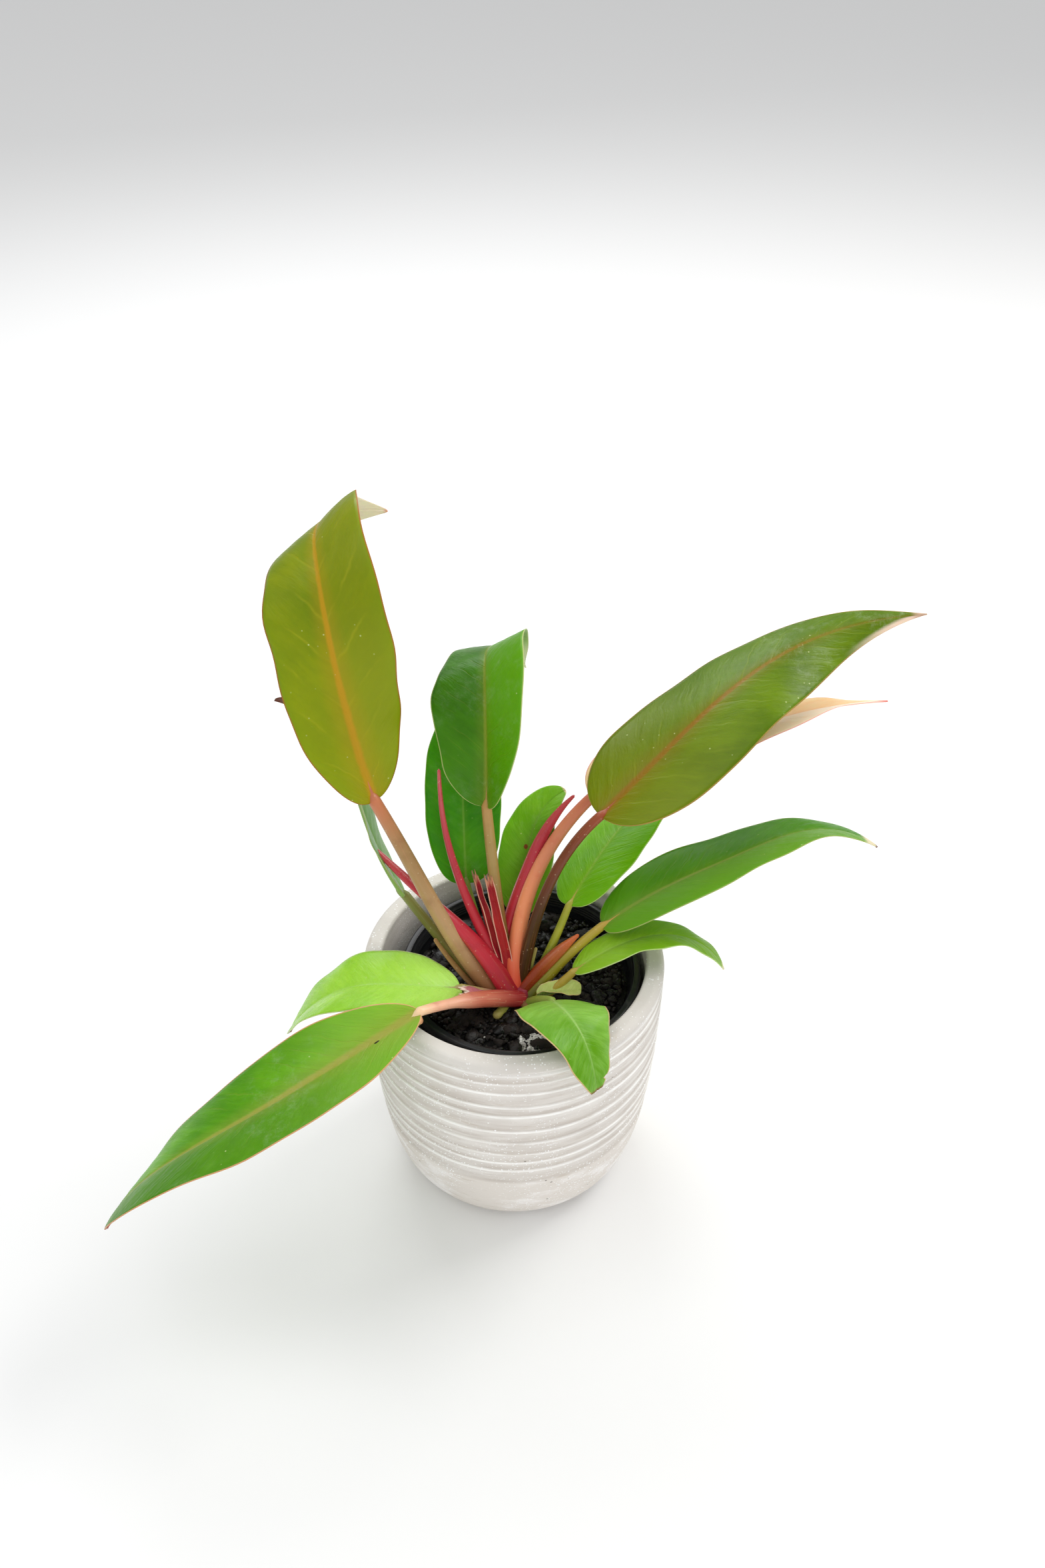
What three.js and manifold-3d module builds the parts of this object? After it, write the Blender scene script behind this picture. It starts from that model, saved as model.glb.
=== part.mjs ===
// A potted philodendron: ribbed cement planter, plastic nursery pot, soil, and a plant whose leaves
// all grow from one short crown. Millimetres, +Z up, origin at the middle of the planter's flat base.
import * as THREE from "three";
import { mergeVertices } from "three/addons/utils/BufferGeometryUtils.js";
import Module from "manifold-3d";

// Planter: a round cement pot, barrel-sided, standing on a flat foot.
const PLANTER_HEIGHT = 115;
const RIM_RADIUS = 65;
const FOOT_RADIUS = 40;
const PLANTER_WALL = 8;
const PLANTER_FLOOR = 8;
const BARREL_CURVE = 0.3;
const RIM_ROUNDING = 2;
const RIM_BAND = 5;
const FLUTE_DEPTH = 0.8;
const RIDGE_SPACINGS = [5, 6.5, 8.5, 6, 10, 7.5, 8, 6, 6.5, 9];

// Nursery pot: a thin tapered plastic pot standing loose on the planter's floor.
const NURSERY_DROP = 7;
const NURSERY_PLAY = 5;
const NURSERY_SHIFT = 3;
const NURSERY_FOOT_RADIUS = 37;
const NURSERY_WALL = 1.4;
const LIP_HEIGHT = 6;
const LIP_WIDTH = 3;
const DRAIN_HOLES = 6;
const DRAIN_RADIUS = 4;

// Soil and crown: the crown is the short stem that carries every leaf.
const SOIL_DROP = 14;
const SOIL_DOME = 1.5;
const CROWN_RADIUS = 8;
const CROWN_HEIGHT = 5;
const CROWN_DEPTH = 16;
const CROWN_PLACE = [2, -9];

const SOIL_PLAY = 0.5;

// Neighbouring pieces stay this far apart.
const GAP = 0.3;
const BLADE_THICKNESS = 0.8;
const BLADE_STUB = 0.9;

const PLANTER_SIDES = 40;
const POT_SIDES = 36;
const STALK_SIDES = 8;

const rimInnerRadius = RIM_RADIUS - PLANTER_WALL;
const lipTop = PLANTER_HEIGHT - NURSERY_DROP;
const lipRadius = rimInnerRadius - NURSERY_PLAY;
const nurseryFoot = PLANTER_FLOOR + GAP;
const soilTop = PLANTER_HEIGHT - SOIL_DROP;
const crownTop = soilTop + CROWN_HEIGHT;

const wasm = await Module();
wasm.setup();

// ---- materials -------------------------------------------------------------------------------

function finish(name, color, roughness) {
  const material = new THREE.MeshStandardMaterial({ color, roughness, metalness: 0 });
  material.name = name;
  return material;
}

const cement = () => finish("cement", 0xd9d3ca, 0.85);
const plastic = () => finish("black_plastic", 0x24262a, 0.5);
const soilMix = () => finish("potting_soil", 0x1f1915, 0.95);
const crownFlesh = () => finish("crown_flesh", 0xa5414a, 0.5);
const green = (color) => finish("leaf_green", color, 0.4);
const newGrowth = (color) => finish("new_leaf", color, 0.4);
const stalkFlesh = (color) => finish("petiole_flesh", color, 0.45);
const sheathFlesh = (color) => finish("red_sheath", color, 0.4);
const drySheath = (color) => finish("dry_sheath", color, 0.8);

// ---- closed solids and cutting ------------------------------------------------------------------

function solidOf(geometry) {
  const bare = geometry.clone();
  bare.deleteAttribute("normal");
  bare.deleteAttribute("uv");
  const merged = mergeVertices(bare, 1e-4);
  const mesh = new wasm.Mesh({
    numProp: 3,
    vertProperties: new Float32Array(merged.attributes.position.array),
    triVerts: new Uint32Array(merged.index.array),
  });
  return new wasm.Manifold(mesh);
}

function geometryOf(solid) {
  const mesh = solid.getMesh();
  const geometry = new THREE.BufferGeometry();
  geometry.setAttribute("position", new THREE.BufferAttribute(new Float32Array(mesh.vertProperties), 3));
  geometry.setIndex(new THREE.BufferAttribute(new Uint32Array(mesh.triVerts), 1));
  const faceted = geometry.toNonIndexed();
  faceted.computeVertexNormals();
  return faceted;
}

function boxesTouch(a, b) {
  return [0, 1, 2].every((axis) => a.min[axis] <= b.max[axis] && b.min[axis] <= a.max[axis]);
}

function largestBody(solid) {
  const bodies = solid.decompose();
  bodies.sort((a, b) => b.volume() - a.volume());
  return bodies[0];
}

// Each piece is kept with a second, slightly larger solid: the space its neighbours stay out of.
// A neighbour that only grazes that space, by less than GRAZE cubic millimetres, is left whole.
const GRAZE = 0.05;
const CUT_TOLERANCE = 0.04;
const pieces = [];

function addPiece(name, geometry, largerGeometry, material) {
  let solid = solidOf(geometry);
  const clearance = solidOf(largerGeometry);
  for (const other of pieces) {
    if (!boxesTouch(solid.boundingBox(), other.clearance.boundingBox())) {
      continue;
    }
    if (solid.intersect(other.clearance).volume() > GRAZE) {
      solid = largestBody(solid.subtract(other.clearance).simplify(CUT_TOLERANCE));
    }
  }
  pieces.push({ name, solid, clearance, material });
}

// ---- growth: a path whose heading and rise change smoothly along its length -----------------------

// Value at s (0 to 1) of a list of evenly spaced values, joined by a smooth curve.
function along(values, s) {
  const last = values.length - 1;
  if (last === 0) {
    return values[0];
  }
  const x = Math.min(Math.max(s, 0), 1) * last;
  const i = Math.min(Math.floor(x), last - 1);
  const u = x - i;
  const b = values[i];
  const c = values[i + 1];
  const a = i > 0 ? values[i - 1] : 2 * b - c;
  const d = i < last - 1 ? values[i + 2] : 2 * c - b;
  const bend = 2 * a - 5 * b + 4 * c - d;
  const twist = 3 * b - a - 3 * c + d;
  return 0.5 * (2 * b + (c - a) * u + bend * u * u + twist * u * u * u);
}

const radians = THREE.MathUtils.degToRad;

// Heading is measured around +Z from +X, rise from the horizontal; upper is the leaf's upper side.
function directions(growth, s) {
  const heading = radians(along(growth.heading, s));
  const rise = radians(along(growth.rise, s));
  const roll = radians(growth.roll ? along(growth.roll, s) : 0);
  const flat = Math.cos(rise);
  const forward = new THREE.Vector3(flat * Math.cos(heading), flat * Math.sin(heading), Math.sin(rise));
  const lift = Math.sin(rise);
  const upper = new THREE.Vector3(-lift * Math.cos(heading), -lift * Math.sin(heading), flat);
  const right = new THREE.Vector3().crossVectors(forward, upper);
  upper.applyAxisAngle(forward, roll);
  right.applyAxisAngle(forward, roll);
  return { forward, upper, right };
}

const PATH_STEPS = 60;

function pathPoints(growth) {
  const points = [growth.start.clone()];
  for (let step = 0; step < PATH_STEPS; step += 1) {
    const { forward } = directions(growth, (step + 0.5) / PATH_STEPS);
    points.push(points[step].clone().addScaledVector(forward, growth.length / PATH_STEPS));
  }
  return points;
}

function pointAt(points, s) {
  const x = Math.min(Math.max(s, 0), 1) * PATH_STEPS;
  const i = Math.min(Math.floor(x), PATH_STEPS - 1);
  return points[i].clone().lerp(points[i + 1], x - i);
}

// A stalk: a tapered rod bent along its path, its section an oval flattened by the given share.
function stalkGeometry(stalk, grow = 0) {
  const segments = Math.max(3, Math.round(stalk.length / 9));
  const geometry = new THREE.CylinderGeometry(1, 1, 1, STALK_SIDES, segments);
  const points = pathPoints(stalk);
  const flatness = stalk.flatness ?? 1;
  const position = geometry.attributes.position;
  const vertex = new THREE.Vector3();
  for (let i = 0; i < position.count; i += 1) {
    vertex.fromBufferAttribute(position, i);
    const s = vertex.y + 0.5;
    const { forward, upper, right } = directions(stalk, s);
    const radius = stalk.radius[0] + (stalk.radius[1] - stalk.radius[0]) * s + grow;
    const place = pointAt(points, s);
    place.addScaledVector(right, vertex.x * radius);
    place.addScaledVector(upper, vertex.z * (radius - grow) * flatness + vertex.z * grow);
    place.addScaledVector(forward, (2 * s - 1) * grow);
    position.setXYZ(i, place.x, place.y, place.z);
  }
  return geometry;
}

// Half the width of a blade at s, widest at its shoulder and drawn out to the tip.
function halfWidth(blade, s) {
  const shoulder = blade.shoulder;
  const before = Math.pow(s / shoulder, shoulder);
  const after = Math.pow((1 - s) / (1 - shoulder), 1 - shoulder);
  return (blade.width / 2) * Math.pow(before * after, blade.taper) + BLADE_STUB;
}

// A blade: a thin plate folded at its midrib and cupped towards its margins, bent along its path.
function bladeGeometry(blade, grow = 0) {
  const lengthSteps = Math.max(6, Math.round(blade.length / 10));
  const geometry = new THREE.BoxGeometry(2, 1, 1, 4, lengthSteps, 1);
  const points = pathPoints(blade);
  const position = geometry.attributes.position;
  const vertex = new THREE.Vector3();
  for (let i = 0; i < position.count; i += 1) {
    vertex.fromBufferAttribute(position, i);
    const s = vertex.y + 0.5;
    const t = Math.abs(vertex.x);
    const side = Math.sign(vertex.x);
    const { forward, upper, right } = directions(blade, s);
    const reach = halfWidth(blade, s) + grow;
    const fold = radians(along(blade.fold, s));
    const cup = radians(along(blade.cup, s));
    const middle = fold + (cup * t) / 2;
    const edgeAngle = (fold + cup * t) * side;
    const outward = reach * t * Math.cos(middle) * side;
    const lifted = reach * t * Math.sin(middle);
    const thickness = vertex.z * (BLADE_THICKNESS + 2 * grow);
    const place = pointAt(points, s);
    place.addScaledVector(right, outward - thickness * Math.sin(edgeAngle));
    place.addScaledVector(upper, lifted + thickness * Math.cos(edgeAngle));
    place.addScaledVector(forward, (2 * s - 1) * grow);
    position.setXYZ(i, place.x, place.y, place.z);
  }
  return geometry;
}

// ---- planter, nursery pot, crown ------------------------------------------------------------------

function barrelRadius(z) {
  const depth = 1 - z / PLANTER_HEIGHT;
  const swell = Math.pow(1 - depth * depth, BARREL_CURVE);
  return FOOT_RADIUS + (RIM_RADIUS - FOOT_RADIUS) * swell;
}

function planterProfile() {
  const profile = [[0, 0], [FOOT_RADIUS, 0]];
  for (const z of [1, 3, 7, 13, 21]) {
    profile.push([barrelRadius(z), z]);
  }
  // Ridges ring the wall below the plain band at the rim, with a shallow flute between each two.
  const ribs = [];
  let ridge = PLANTER_HEIGHT - RIM_BAND;
  ribs.push([barrelRadius(ridge), ridge]);
  for (const spacing of RIDGE_SPACINGS) {
    const flute = ridge - spacing / 2;
    ridge -= spacing;
    ribs.push([barrelRadius(flute) - FLUTE_DEPTH, flute]);
    ribs.push([barrelRadius(ridge), ridge]);
  }
  ribs.push([barrelRadius(ridge - 4), ridge - 4]);
  profile.push(...ribs.reverse());
  profile.push([RIM_RADIUS, PLANTER_HEIGHT - RIM_ROUNDING]);
  profile.push([RIM_RADIUS - RIM_ROUNDING, PLANTER_HEIGHT]);
  profile.push([rimInnerRadius + RIM_ROUNDING, PLANTER_HEIGHT]);
  profile.push([rimInnerRadius, PLANTER_HEIGHT - RIM_ROUNDING]);
  for (const share of [0.7, 0.4, 0.2, 0.08]) {
    const z = PLANTER_FLOOR + (PLANTER_HEIGHT - PLANTER_FLOOR) * share;
    profile.push([barrelRadius(z) - PLANTER_WALL, z]);
  }
  profile.push([barrelRadius(PLANTER_FLOOR) - PLANTER_WALL, PLANTER_FLOOR]);
  profile.push([0, PLANTER_FLOOR]);
  return profile;
}

function nurseryRadius(z) {
  const share = (z - nurseryFoot) / (lipTop - nurseryFoot);
  return NURSERY_FOOT_RADIUS + (lipRadius - LIP_WIDTH - NURSERY_FOOT_RADIUS) * share;
}

function nurseryProfile(grow = 0) {
  const underLip = lipTop - LIP_HEIGHT;
  const inside = nurseryFoot + NURSERY_WALL;
  return [
    [0, nurseryFoot - grow],
    [NURSERY_FOOT_RADIUS + grow, nurseryFoot - grow],
    [nurseryRadius(underLip) + grow, underLip - grow],
    [lipRadius + grow, underLip + 1 - grow],
    [lipRadius + grow, lipTop - 0.6 + grow],
    [lipRadius - 0.6, lipTop + grow],
    [nurseryRadius(lipTop) - grow, lipTop + grow],
    [nurseryRadius(underLip) - NURSERY_WALL - grow, underLip],
    [nurseryRadius(inside) - NURSERY_WALL - grow, inside + grow],
    [0, inside + grow],
  ];
}

function lathe(profile, sides, place = [0, 0]) {
  const points = profile.map(([radius, z]) => new THREE.Vector2(radius, z));
  const geometry = new THREE.LatheGeometry(points, sides);
  geometry.rotateX(Math.PI / 2);
  geometry.translate(place[0], place[1], 0);
  return geometry;
}

function nurseryGeometry() {
  let pot = solidOf(lathe(nurseryProfile(), POT_SIDES, [NURSERY_SHIFT, 0]));
  for (let hole = 0; hole < DRAIN_HOLES; hole += 1) {
    const angle = (hole / DRAIN_HOLES) * 2 * Math.PI;
    const drain = new THREE.CylinderGeometry(DRAIN_RADIUS, DRAIN_RADIUS, NURSERY_WALL * 3, 10);
    drain.rotateX(Math.PI / 2);
    const reach = NURSERY_FOOT_RADIUS * 0.7;
    drain.translate(NURSERY_SHIFT + reach * Math.cos(angle), reach * Math.sin(angle), nurseryFoot);
    pot = pot.subtract(solidOf(drain));
  }
  return geometryOf(pot);
}

function crownProfile(grow = 0) {
  const bottom = soilTop - CROWN_DEPTH;
  return [
    [0, bottom - grow],
    [CROWN_RADIUS * 0.5 + grow, bottom - grow],
    [CROWN_RADIUS * 0.85 + grow, soilTop - CROWN_DEPTH * 0.4],
    [CROWN_RADIUS + grow, soilTop],
    [CROWN_RADIUS * 0.8 + grow, soilTop + CROWN_HEIGHT * 0.6],
    [CROWN_RADIUS * 0.45 + grow, crownTop + grow],
    [0, crownTop + grow],
  ];
}

function soilProfile() {
  const inside = nurseryFoot + NURSERY_WALL + SOIL_PLAY;
  const edge = soilTop - SOIL_DOME;
  return [
    [0, inside],
    [nurseryRadius(inside) - NURSERY_WALL - SOIL_PLAY, inside],
    [nurseryRadius(edge) - NURSERY_WALL - SOIL_PLAY, edge],
    [nurseryRadius(edge) * 0.75, soilTop - SOIL_DOME * 0.4],
    [nurseryRadius(edge) * 0.4, soilTop],
    [0, soilTop],
  ];
}

const planterBody = lathe(planterProfile(), PLANTER_SIDES);
addPiece("planter", planterBody, planterBody, cement());
const nurseryLarger = lathe(nurseryProfile(GAP), POT_SIDES, [NURSERY_SHIFT, 0]);
addPiece("nursery_pot", nurseryGeometry(), nurseryLarger, plastic());
const crownLarger = lathe(crownProfile(GAP), 16, CROWN_PLACE);
addPiece("crown", lathe(crownProfile(), 16, CROWN_PLACE), crownLarger, crownFlesh());

// ---- leaves -----------------------------------------------------------------------------------------

// root is where the petiole leaves the crown, measured from the middle of the pot at soil level.
// Angles are in degrees and lengths in millimetres; lists run from the root end to the tip end.
const leaves = [
  {
    // The tallest leaf: leans back to the left, stands upright, then rolls over at its top.
    name: "tall_left",
    root: [-9, -11, 2],
    petiole: { length: 101, heading: [152, 152], rise: [46, 61, 59], radius: [4, 2.7] },
    blade: {
      length: 168, width: 49, shoulder: 0.48, taper: 1,
      heading: [148, 134, 109, 84, 7], rise: [71, 74, 62, -7, -11],
      roll: [-18, -37, -34, -80], fold: [11, 6], cup: [-11, -15],
    },
    color: 0x86920f, stalkColor: 0xb08a5a,
  },
  {
    // The dark upright leaf in the middle, its tip curled over to the right.
    name: "tall_centre",
    root: [-1, -3, 0],
    petiole: { length: 83, heading: [116, 109], rise: [62, 73, 76], radius: [2.9, 2.2] },
    blade: {
      length: 113, width: 43, shoulder: 0.41, taper: 1.25,
      heading: [86, 92, 81, 14], rise: [77, 68, -16, -59],
      roll: [-29, -30, -12], fold: [34, -1], cup: [8, -20],
    },
    color: 0x2f6a1c, stalkColor: 0xa89062,
  },
  {
    // A broad upright leaf behind the middle one.
    name: "behind_centre",
    root: [-4, 0, 0],
    petiole: { length: 45, heading: [139, 116], rise: [46, 59], radius: [2.2, 1.8] },
    blade: {
      length: 85, width: 32, shoulder: 0.46, taper: 0.87,
      heading: [96, 90, 68], rise: [70, 61, 38],
      roll: [0, 3], fold: [13, 15], cup: [-10, -8],
    },
    color: 0x3c7d20, stalkColor: 0x8f9a3a,
  },
  {
    // The small upright leaf at the back.
    name: "small_back",
    root: [0, 8, -3],
    petiole: { length: 24, heading: [86, 82], rise: [49, 59], radius: [2, 1.5] },
    blade: {
      length: 62, width: 24, shoulder: 0.47, taper: 1,
      heading: [68, 69, 20], rise: [62, 58, 18],
      roll: [0, 2], fold: [12, 18], cup: [-10, -6],
    },
    color: 0x4d8c22, stalkColor: 0x8f9a3a,
  },
  {
    // The longest right-hand leaf, carried high on a dark petiole.
    name: "long_right",
    root: [3, -6, 2],
    petiole: { length: 86, heading: [62, 19], rise: [73, 63, 39], radius: [3, 2.5, 2.2, 2.1] },
    blade: {
      length: 173, width: 58, shoulder: 0.29, taper: 1.67,
      heading: [34, 32, 29, -2], rise: [31, 31, 8, 5],
      roll: [4, -2, 45], fold: [9, -14], cup: [-11, -31],
    },
    color: 0x5d7420, stalkColor: 0x7a4a35,
  },
  {
    // The newest open leaf, still peach-coloured, just under the long right-hand one.
    name: "new_right",
    root: [0, -7, 3],
    petiole: { length: 90, heading: [90, 23], rise: [61, 47, 38], radius: [3.7, 3.4, 2.9, 2.4] },
    blade: {
      length: 136, width: 45, shoulder: 0.36, taper: 1.2,
      heading: [29, 8, 7], rise: [13, 19, -2],
      roll: [16, -35], fold: [14, 10], cup: [-14, -11],
    },
    color: 0xe5a383, stalkColor: 0xd98a62, young: true,
  },
  {
    // A green leaf lower down on the same side.
    name: "under_right",
    root: [8, -6, 1],
    petiole: { length: 38, heading: [49, 57], rise: [45, 48], radius: [2.2, 1.6] },
    blade: {
      length: 101, width: 33, shoulder: 0.38, taper: 1.15,
      heading: [59, 49, 11], rise: [25, 13, -5],
      roll: [-12, -26], fold: [4, -2], cup: [-16, -22],
    },
    color: 0x4f8f22, stalkColor: 0xa3a83c,
  },
  {
    // The right-hand leaf that reaches out nearly level and turns down at its tip.
    name: "mid_right",
    root: [7, -11, -1],
    petiole: { length: 44, heading: [32, 23], rise: [44, 31], radius: [3, 2.3, 1.9] },
    blade: {
      length: 130, width: 36, shoulder: 0.4, taper: 1.16,
      heading: [12, 14, 13, -14], rise: [39, 20, 13, -34],
      roll: [5, -13, -26], fold: [13, 7], cup: [-9, -14],
    },
    color: 0x467c26, stalkColor: 0x8c8c3c,
  },
  {
    // The low arching leaf on the right.
    name: "low_right",
    root: [10, -14, 0],
    petiole: { length: 21, heading: [6, 18], rise: [37, 46], radius: [2.2, 1.7] },
    blade: {
      length: 77, width: 20, shoulder: 0.42, taper: 1.2,
      heading: [21, 9, -20], rise: [35, 0, -65],
      roll: [-5, -16], fold: [8, 8], cup: [-13, -13],
    },
    color: 0x5a9a2c, stalkColor: 0xd0a348,
  },
  {
    // The front leaf: arches over the planter's rim and hangs down outside it.
    name: "front_drooping",
    root: [7.5, -17, 2],
    petiole: { length: rimInnerRadius - 36, heading: [-57], rise: [50, 35], radius: [2.2, 1.8] },
    blade: {
      length: 60, width: 36, shoulder: 0.27, taper: 1.06,
      heading: [-78, -62, -72], rise: [43, 16, -44, -78],
      roll: [-4, -31], fold: [5, 10], cup: [-25, -13],
    },
    color: 0x77b055, stalkColor: 0x9aa84a,
  },
  {
    // The smallest leaf, curled up beside the crown, with no petiole to speak of.
    name: "curled",
    root: [10, -16, 4],
    petiole: null,
    blade: {
      length: 19, width: 9, shoulder: 0.55, taper: 0.6,
      heading: [8, -4], rise: [22, 0],
      roll: [-20, 25], fold: [42, 20], cup: [30, 10],
    },
    color: 0x9fae4e,
  },
  {
    // The bright left-hand leaf that lies out over the rim.
    name: "low_left",
    root: [-2, -13, 0],
    petiole: { length: rimInnerRadius - 33, heading: [199, 190], rise: [32, 26], radius: [2.5, 2] },
    blade: {
      length: 90, width: 37, shoulder: 0.43, taper: 1.08,
      heading: [196, 175, 176], rise: [22, 2, -39, -65],
      roll: [0, 11], fold: [15, 15], cup: [-13, -13],
    },
    color: 0x6fae34, stalkColor: 0xb8856a,
  },
  {
    // The long leaf that hangs out and down to the front left.
    name: "long_front_left",
    root: [0, -15, 2],
    petiole: {
      length: rimInnerRadius - 4, heading: [212, 223], rise: [31, 20],
      radius: [4.3, 4.3, 4.1, 3.8, 2.5, 2.3, 2.2], flatness: 0.82,
    },
    blade: {
      length: 161, width: 48, shoulder: 0.47, taper: 1.36,
      heading: [212, 202, 188], rise: [-13, -19, -26, -68],
      roll: [-11, 32], fold: [19, 1], cup: [-4, -19],
    },
    color: 0x67a236, stalkColor: 0xc59080,
  },
  {
    // The left-hand leaf that stands edge-on behind the tallest one.
    name: "edge_left",
    root: [-9, -11, -1],
    petiole: { length: 58, heading: [148, 146], rise: [37, 42], radius: [3, 2.1] },
    blade: {
      length: 105, width: 28, shoulder: 0.42, taper: 1.1,
      heading: [146, 132, 166], rise: [46, 64, 7],
      roll: [47, 58], fold: [10, 19], cup: [-12, -5],
    },
    color: 0x5f8a3c, stalkColor: 0x8a8440,
  },
];

function rootOf(spec) {
  return new THREE.Vector3(spec.root[0], spec.root[1], soilTop + spec.root[2]);
}

for (const leaf of leaves) {
  const blade = { ...leaf.blade, start: rootOf(leaf) };
  if (leaf.petiole) {
    leaf.grownPetiole = { ...leaf.petiole, start: rootOf(leaf) };
    blade.start = pathPoints(leaf.grownPetiole)[PATH_STEPS];
  }
  blade.start.addScaledVector(directions(blade, 0).forward, GAP);
  const skin = leaf.young ? newGrowth(leaf.color) : green(leaf.color);
  addPiece(`blade.${leaf.name}`, bladeGeometry(blade), bladeGeometry(blade, GAP), skin);
}

// ---- rolled new leaves, sheaths and old stubs, all growing from the crown ------------------------------

const shoots = [
  {
    // A new leaf still rolled up tight, standing in front of the middle leaves.
    name: "rolled_leaf_tall", root: [-2, -7, 1], length: 105,
    heading: [137, 136, 125, 92], rise: [56, 56, 68, 85], radius: [3.4, 0.7], skin: sheathFlesh(0xc04a56),
  },
  {
    // A second rolled leaf, against the peach-coloured leaf's petiole.
    name: "rolled_leaf_right", root: [-3.5, -4, 1.4], length: 89,
    heading: [106, 61, 54, 27], rise: [58, 52, 48, 32], radius: [2.7, 3.3, 3.4, 2.7, 0.7],
    skin: sheathFlesh(0xb84a54),
  },
  {
    // A short new shoot in front of the right-hand petioles.
    name: "rolled_leaf_short", root: [4, -9, 2], length: 34,
    heading: [31, 21], rise: [44, 33], radius: [2.7, 3.2, 2.7, 0.7], skin: sheathFlesh(0xc4563c),
  },
  {
    // The broad red sheath that wrapped the tallest leaf.
    name: "sheath_broad", root: [-1.5, -12, 2], length: 86,
    heading: [141, 157, 156], rise: [54, 39, 40], radius: [5.4, 4.9, 3.9, 2.9, 2.4, 1.3], flatness: 0.6,
    skin: sheathFlesh(0xb23a48),
  },
  {
    // Two strips of one torn sheath, in front of the middle leaf's petiole.
    name: "sheath_torn_left", root: [-2, -9, 1], length: 53,
    heading: [127, 121], rise: [60, 64], radius: [2.4, 1.8], flatness: 0.5, skin: sheathFlesh(0xb0443c),
  },
  {
    name: "sheath_torn_right", root: [1, -10, 1], length: 54,
    heading: [116, 119], rise: [63, 64], radius: [2, 1.2], flatness: 0.5, skin: sheathFlesh(0xb0443c),
  },
  {
    // A dried brown sheath between the two left-hand petioles.
    name: "sheath_dry_left", root: [-11, -14, 0], length: 36,
    heading: [158, 145], rise: [39, 48], radius: [1.9, 1], flatness: 0.45, skin: drySheath(0x8a6a3c),
  },
  {
    // A small pale sheath on the right.
    name: "sheath_small_right", root: [5, -6, 0], length: 18,
    heading: [68, 60], rise: [55, 52], radius: [1.8, 0.7], flatness: 0.6, skin: stalkFlesh(0xa8a85a),
  },
  {
    // The cut stub of an old leaf, low at the front.
    name: "stub_old_leaf", root: [-3, -17, 0], length: 9,
    heading: [235], rise: [3], radius: [2, 1.9], skin: stalkFlesh(0xa9ba45),
  },
  {
    // A dry scrap of old sheath under the front leaf.
    name: "scrap_dry_front", root: [5, -16, 0.5], length: 9,
    heading: [-60], rise: [8], radius: [2.8, 1.6], flatness: 0.6, skin: drySheath(0x6a4426),
  },
];

const shootNames = ["rolled_leaf_tall", "rolled_leaf_short"];
const frontShoots = shoots.filter((shoot) => shootNames.includes(shoot.name));
const backShoots = shoots.filter((shoot) => !shootNames.includes(shoot.name));

function addStalk(name, stalk, skin) {
  addPiece(name, stalkGeometry(stalk), stalkGeometry(stalk, GAP), skin);
}

for (const shoot of frontShoots) {
  addStalk(shoot.name, { ...shoot, start: rootOf(shoot) }, shoot.skin);
}
for (const leaf of leaves.filter((each) => each.petiole)) {
  addStalk(`petiole.${leaf.name}`, leaf.grownPetiole, stalkFlesh(leaf.stalkColor));
}
for (const shoot of backShoots) {
  addStalk(shoot.name, { ...shoot, start: rootOf(shoot) }, shoot.skin);
}

// The soil goes in last: it fills the nursery pot and closes round whatever stands in it.
const soilBody = lathe(soilProfile(), POT_SIDES, [NURSERY_SHIFT, 0]);
addPiece("potting_soil", soilBody, soilBody, soilMix());

// ---- assembly -----------------------------------------------------------------------------------------

const model = new THREE.Group();
model.name = "potted_philodendron";
const pots = new THREE.Group();
pots.name = "pots";
const plant = new THREE.Group();
plant.name = "plant";
plant.position.set(CROWN_PLACE[0], CROWN_PLACE[1], soilTop);
model.add(pots, plant);

const potNames = ["planter", "nursery_pot", "potting_soil"];
for (const piece of pieces) {
  const geometry = geometryOf(piece.solid);
  const mesh = new THREE.Mesh(geometry, piece.material);
  mesh.name = piece.name;
  if (potNames.includes(piece.name)) {
    pots.add(mesh);
  } else {
    geometry.translate(-plant.position.x, -plant.position.y, -plant.position.z);
    plant.add(mesh);
  }
}

export default model;
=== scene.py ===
import math

import bpy
import numpy as np
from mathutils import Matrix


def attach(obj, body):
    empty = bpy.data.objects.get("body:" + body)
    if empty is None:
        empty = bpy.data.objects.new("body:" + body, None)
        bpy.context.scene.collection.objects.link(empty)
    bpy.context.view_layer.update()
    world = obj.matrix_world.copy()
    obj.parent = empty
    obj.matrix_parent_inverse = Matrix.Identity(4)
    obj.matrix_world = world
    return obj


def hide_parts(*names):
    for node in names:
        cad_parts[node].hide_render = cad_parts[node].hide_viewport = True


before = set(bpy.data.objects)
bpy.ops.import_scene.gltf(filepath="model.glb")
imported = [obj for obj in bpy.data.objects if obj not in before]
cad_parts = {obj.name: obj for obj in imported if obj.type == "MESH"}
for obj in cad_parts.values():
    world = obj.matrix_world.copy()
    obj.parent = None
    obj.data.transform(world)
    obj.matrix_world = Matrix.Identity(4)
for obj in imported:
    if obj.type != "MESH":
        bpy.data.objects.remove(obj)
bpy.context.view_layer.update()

# ---- Studio ----------------------------------------------------------------------------------
# A plain pale table top under a bright even sky, with a large soft window on the right and three
# weaker soft lamps at the left, front and back. None of it belongs to the potted plant. The sky
# is dimmer in reflections, so the leaves' wax shows its own colour.

TABLE_HALF = 6.0
TABLE_COLOUR = (0.82, 0.82, 0.815, 1)

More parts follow.
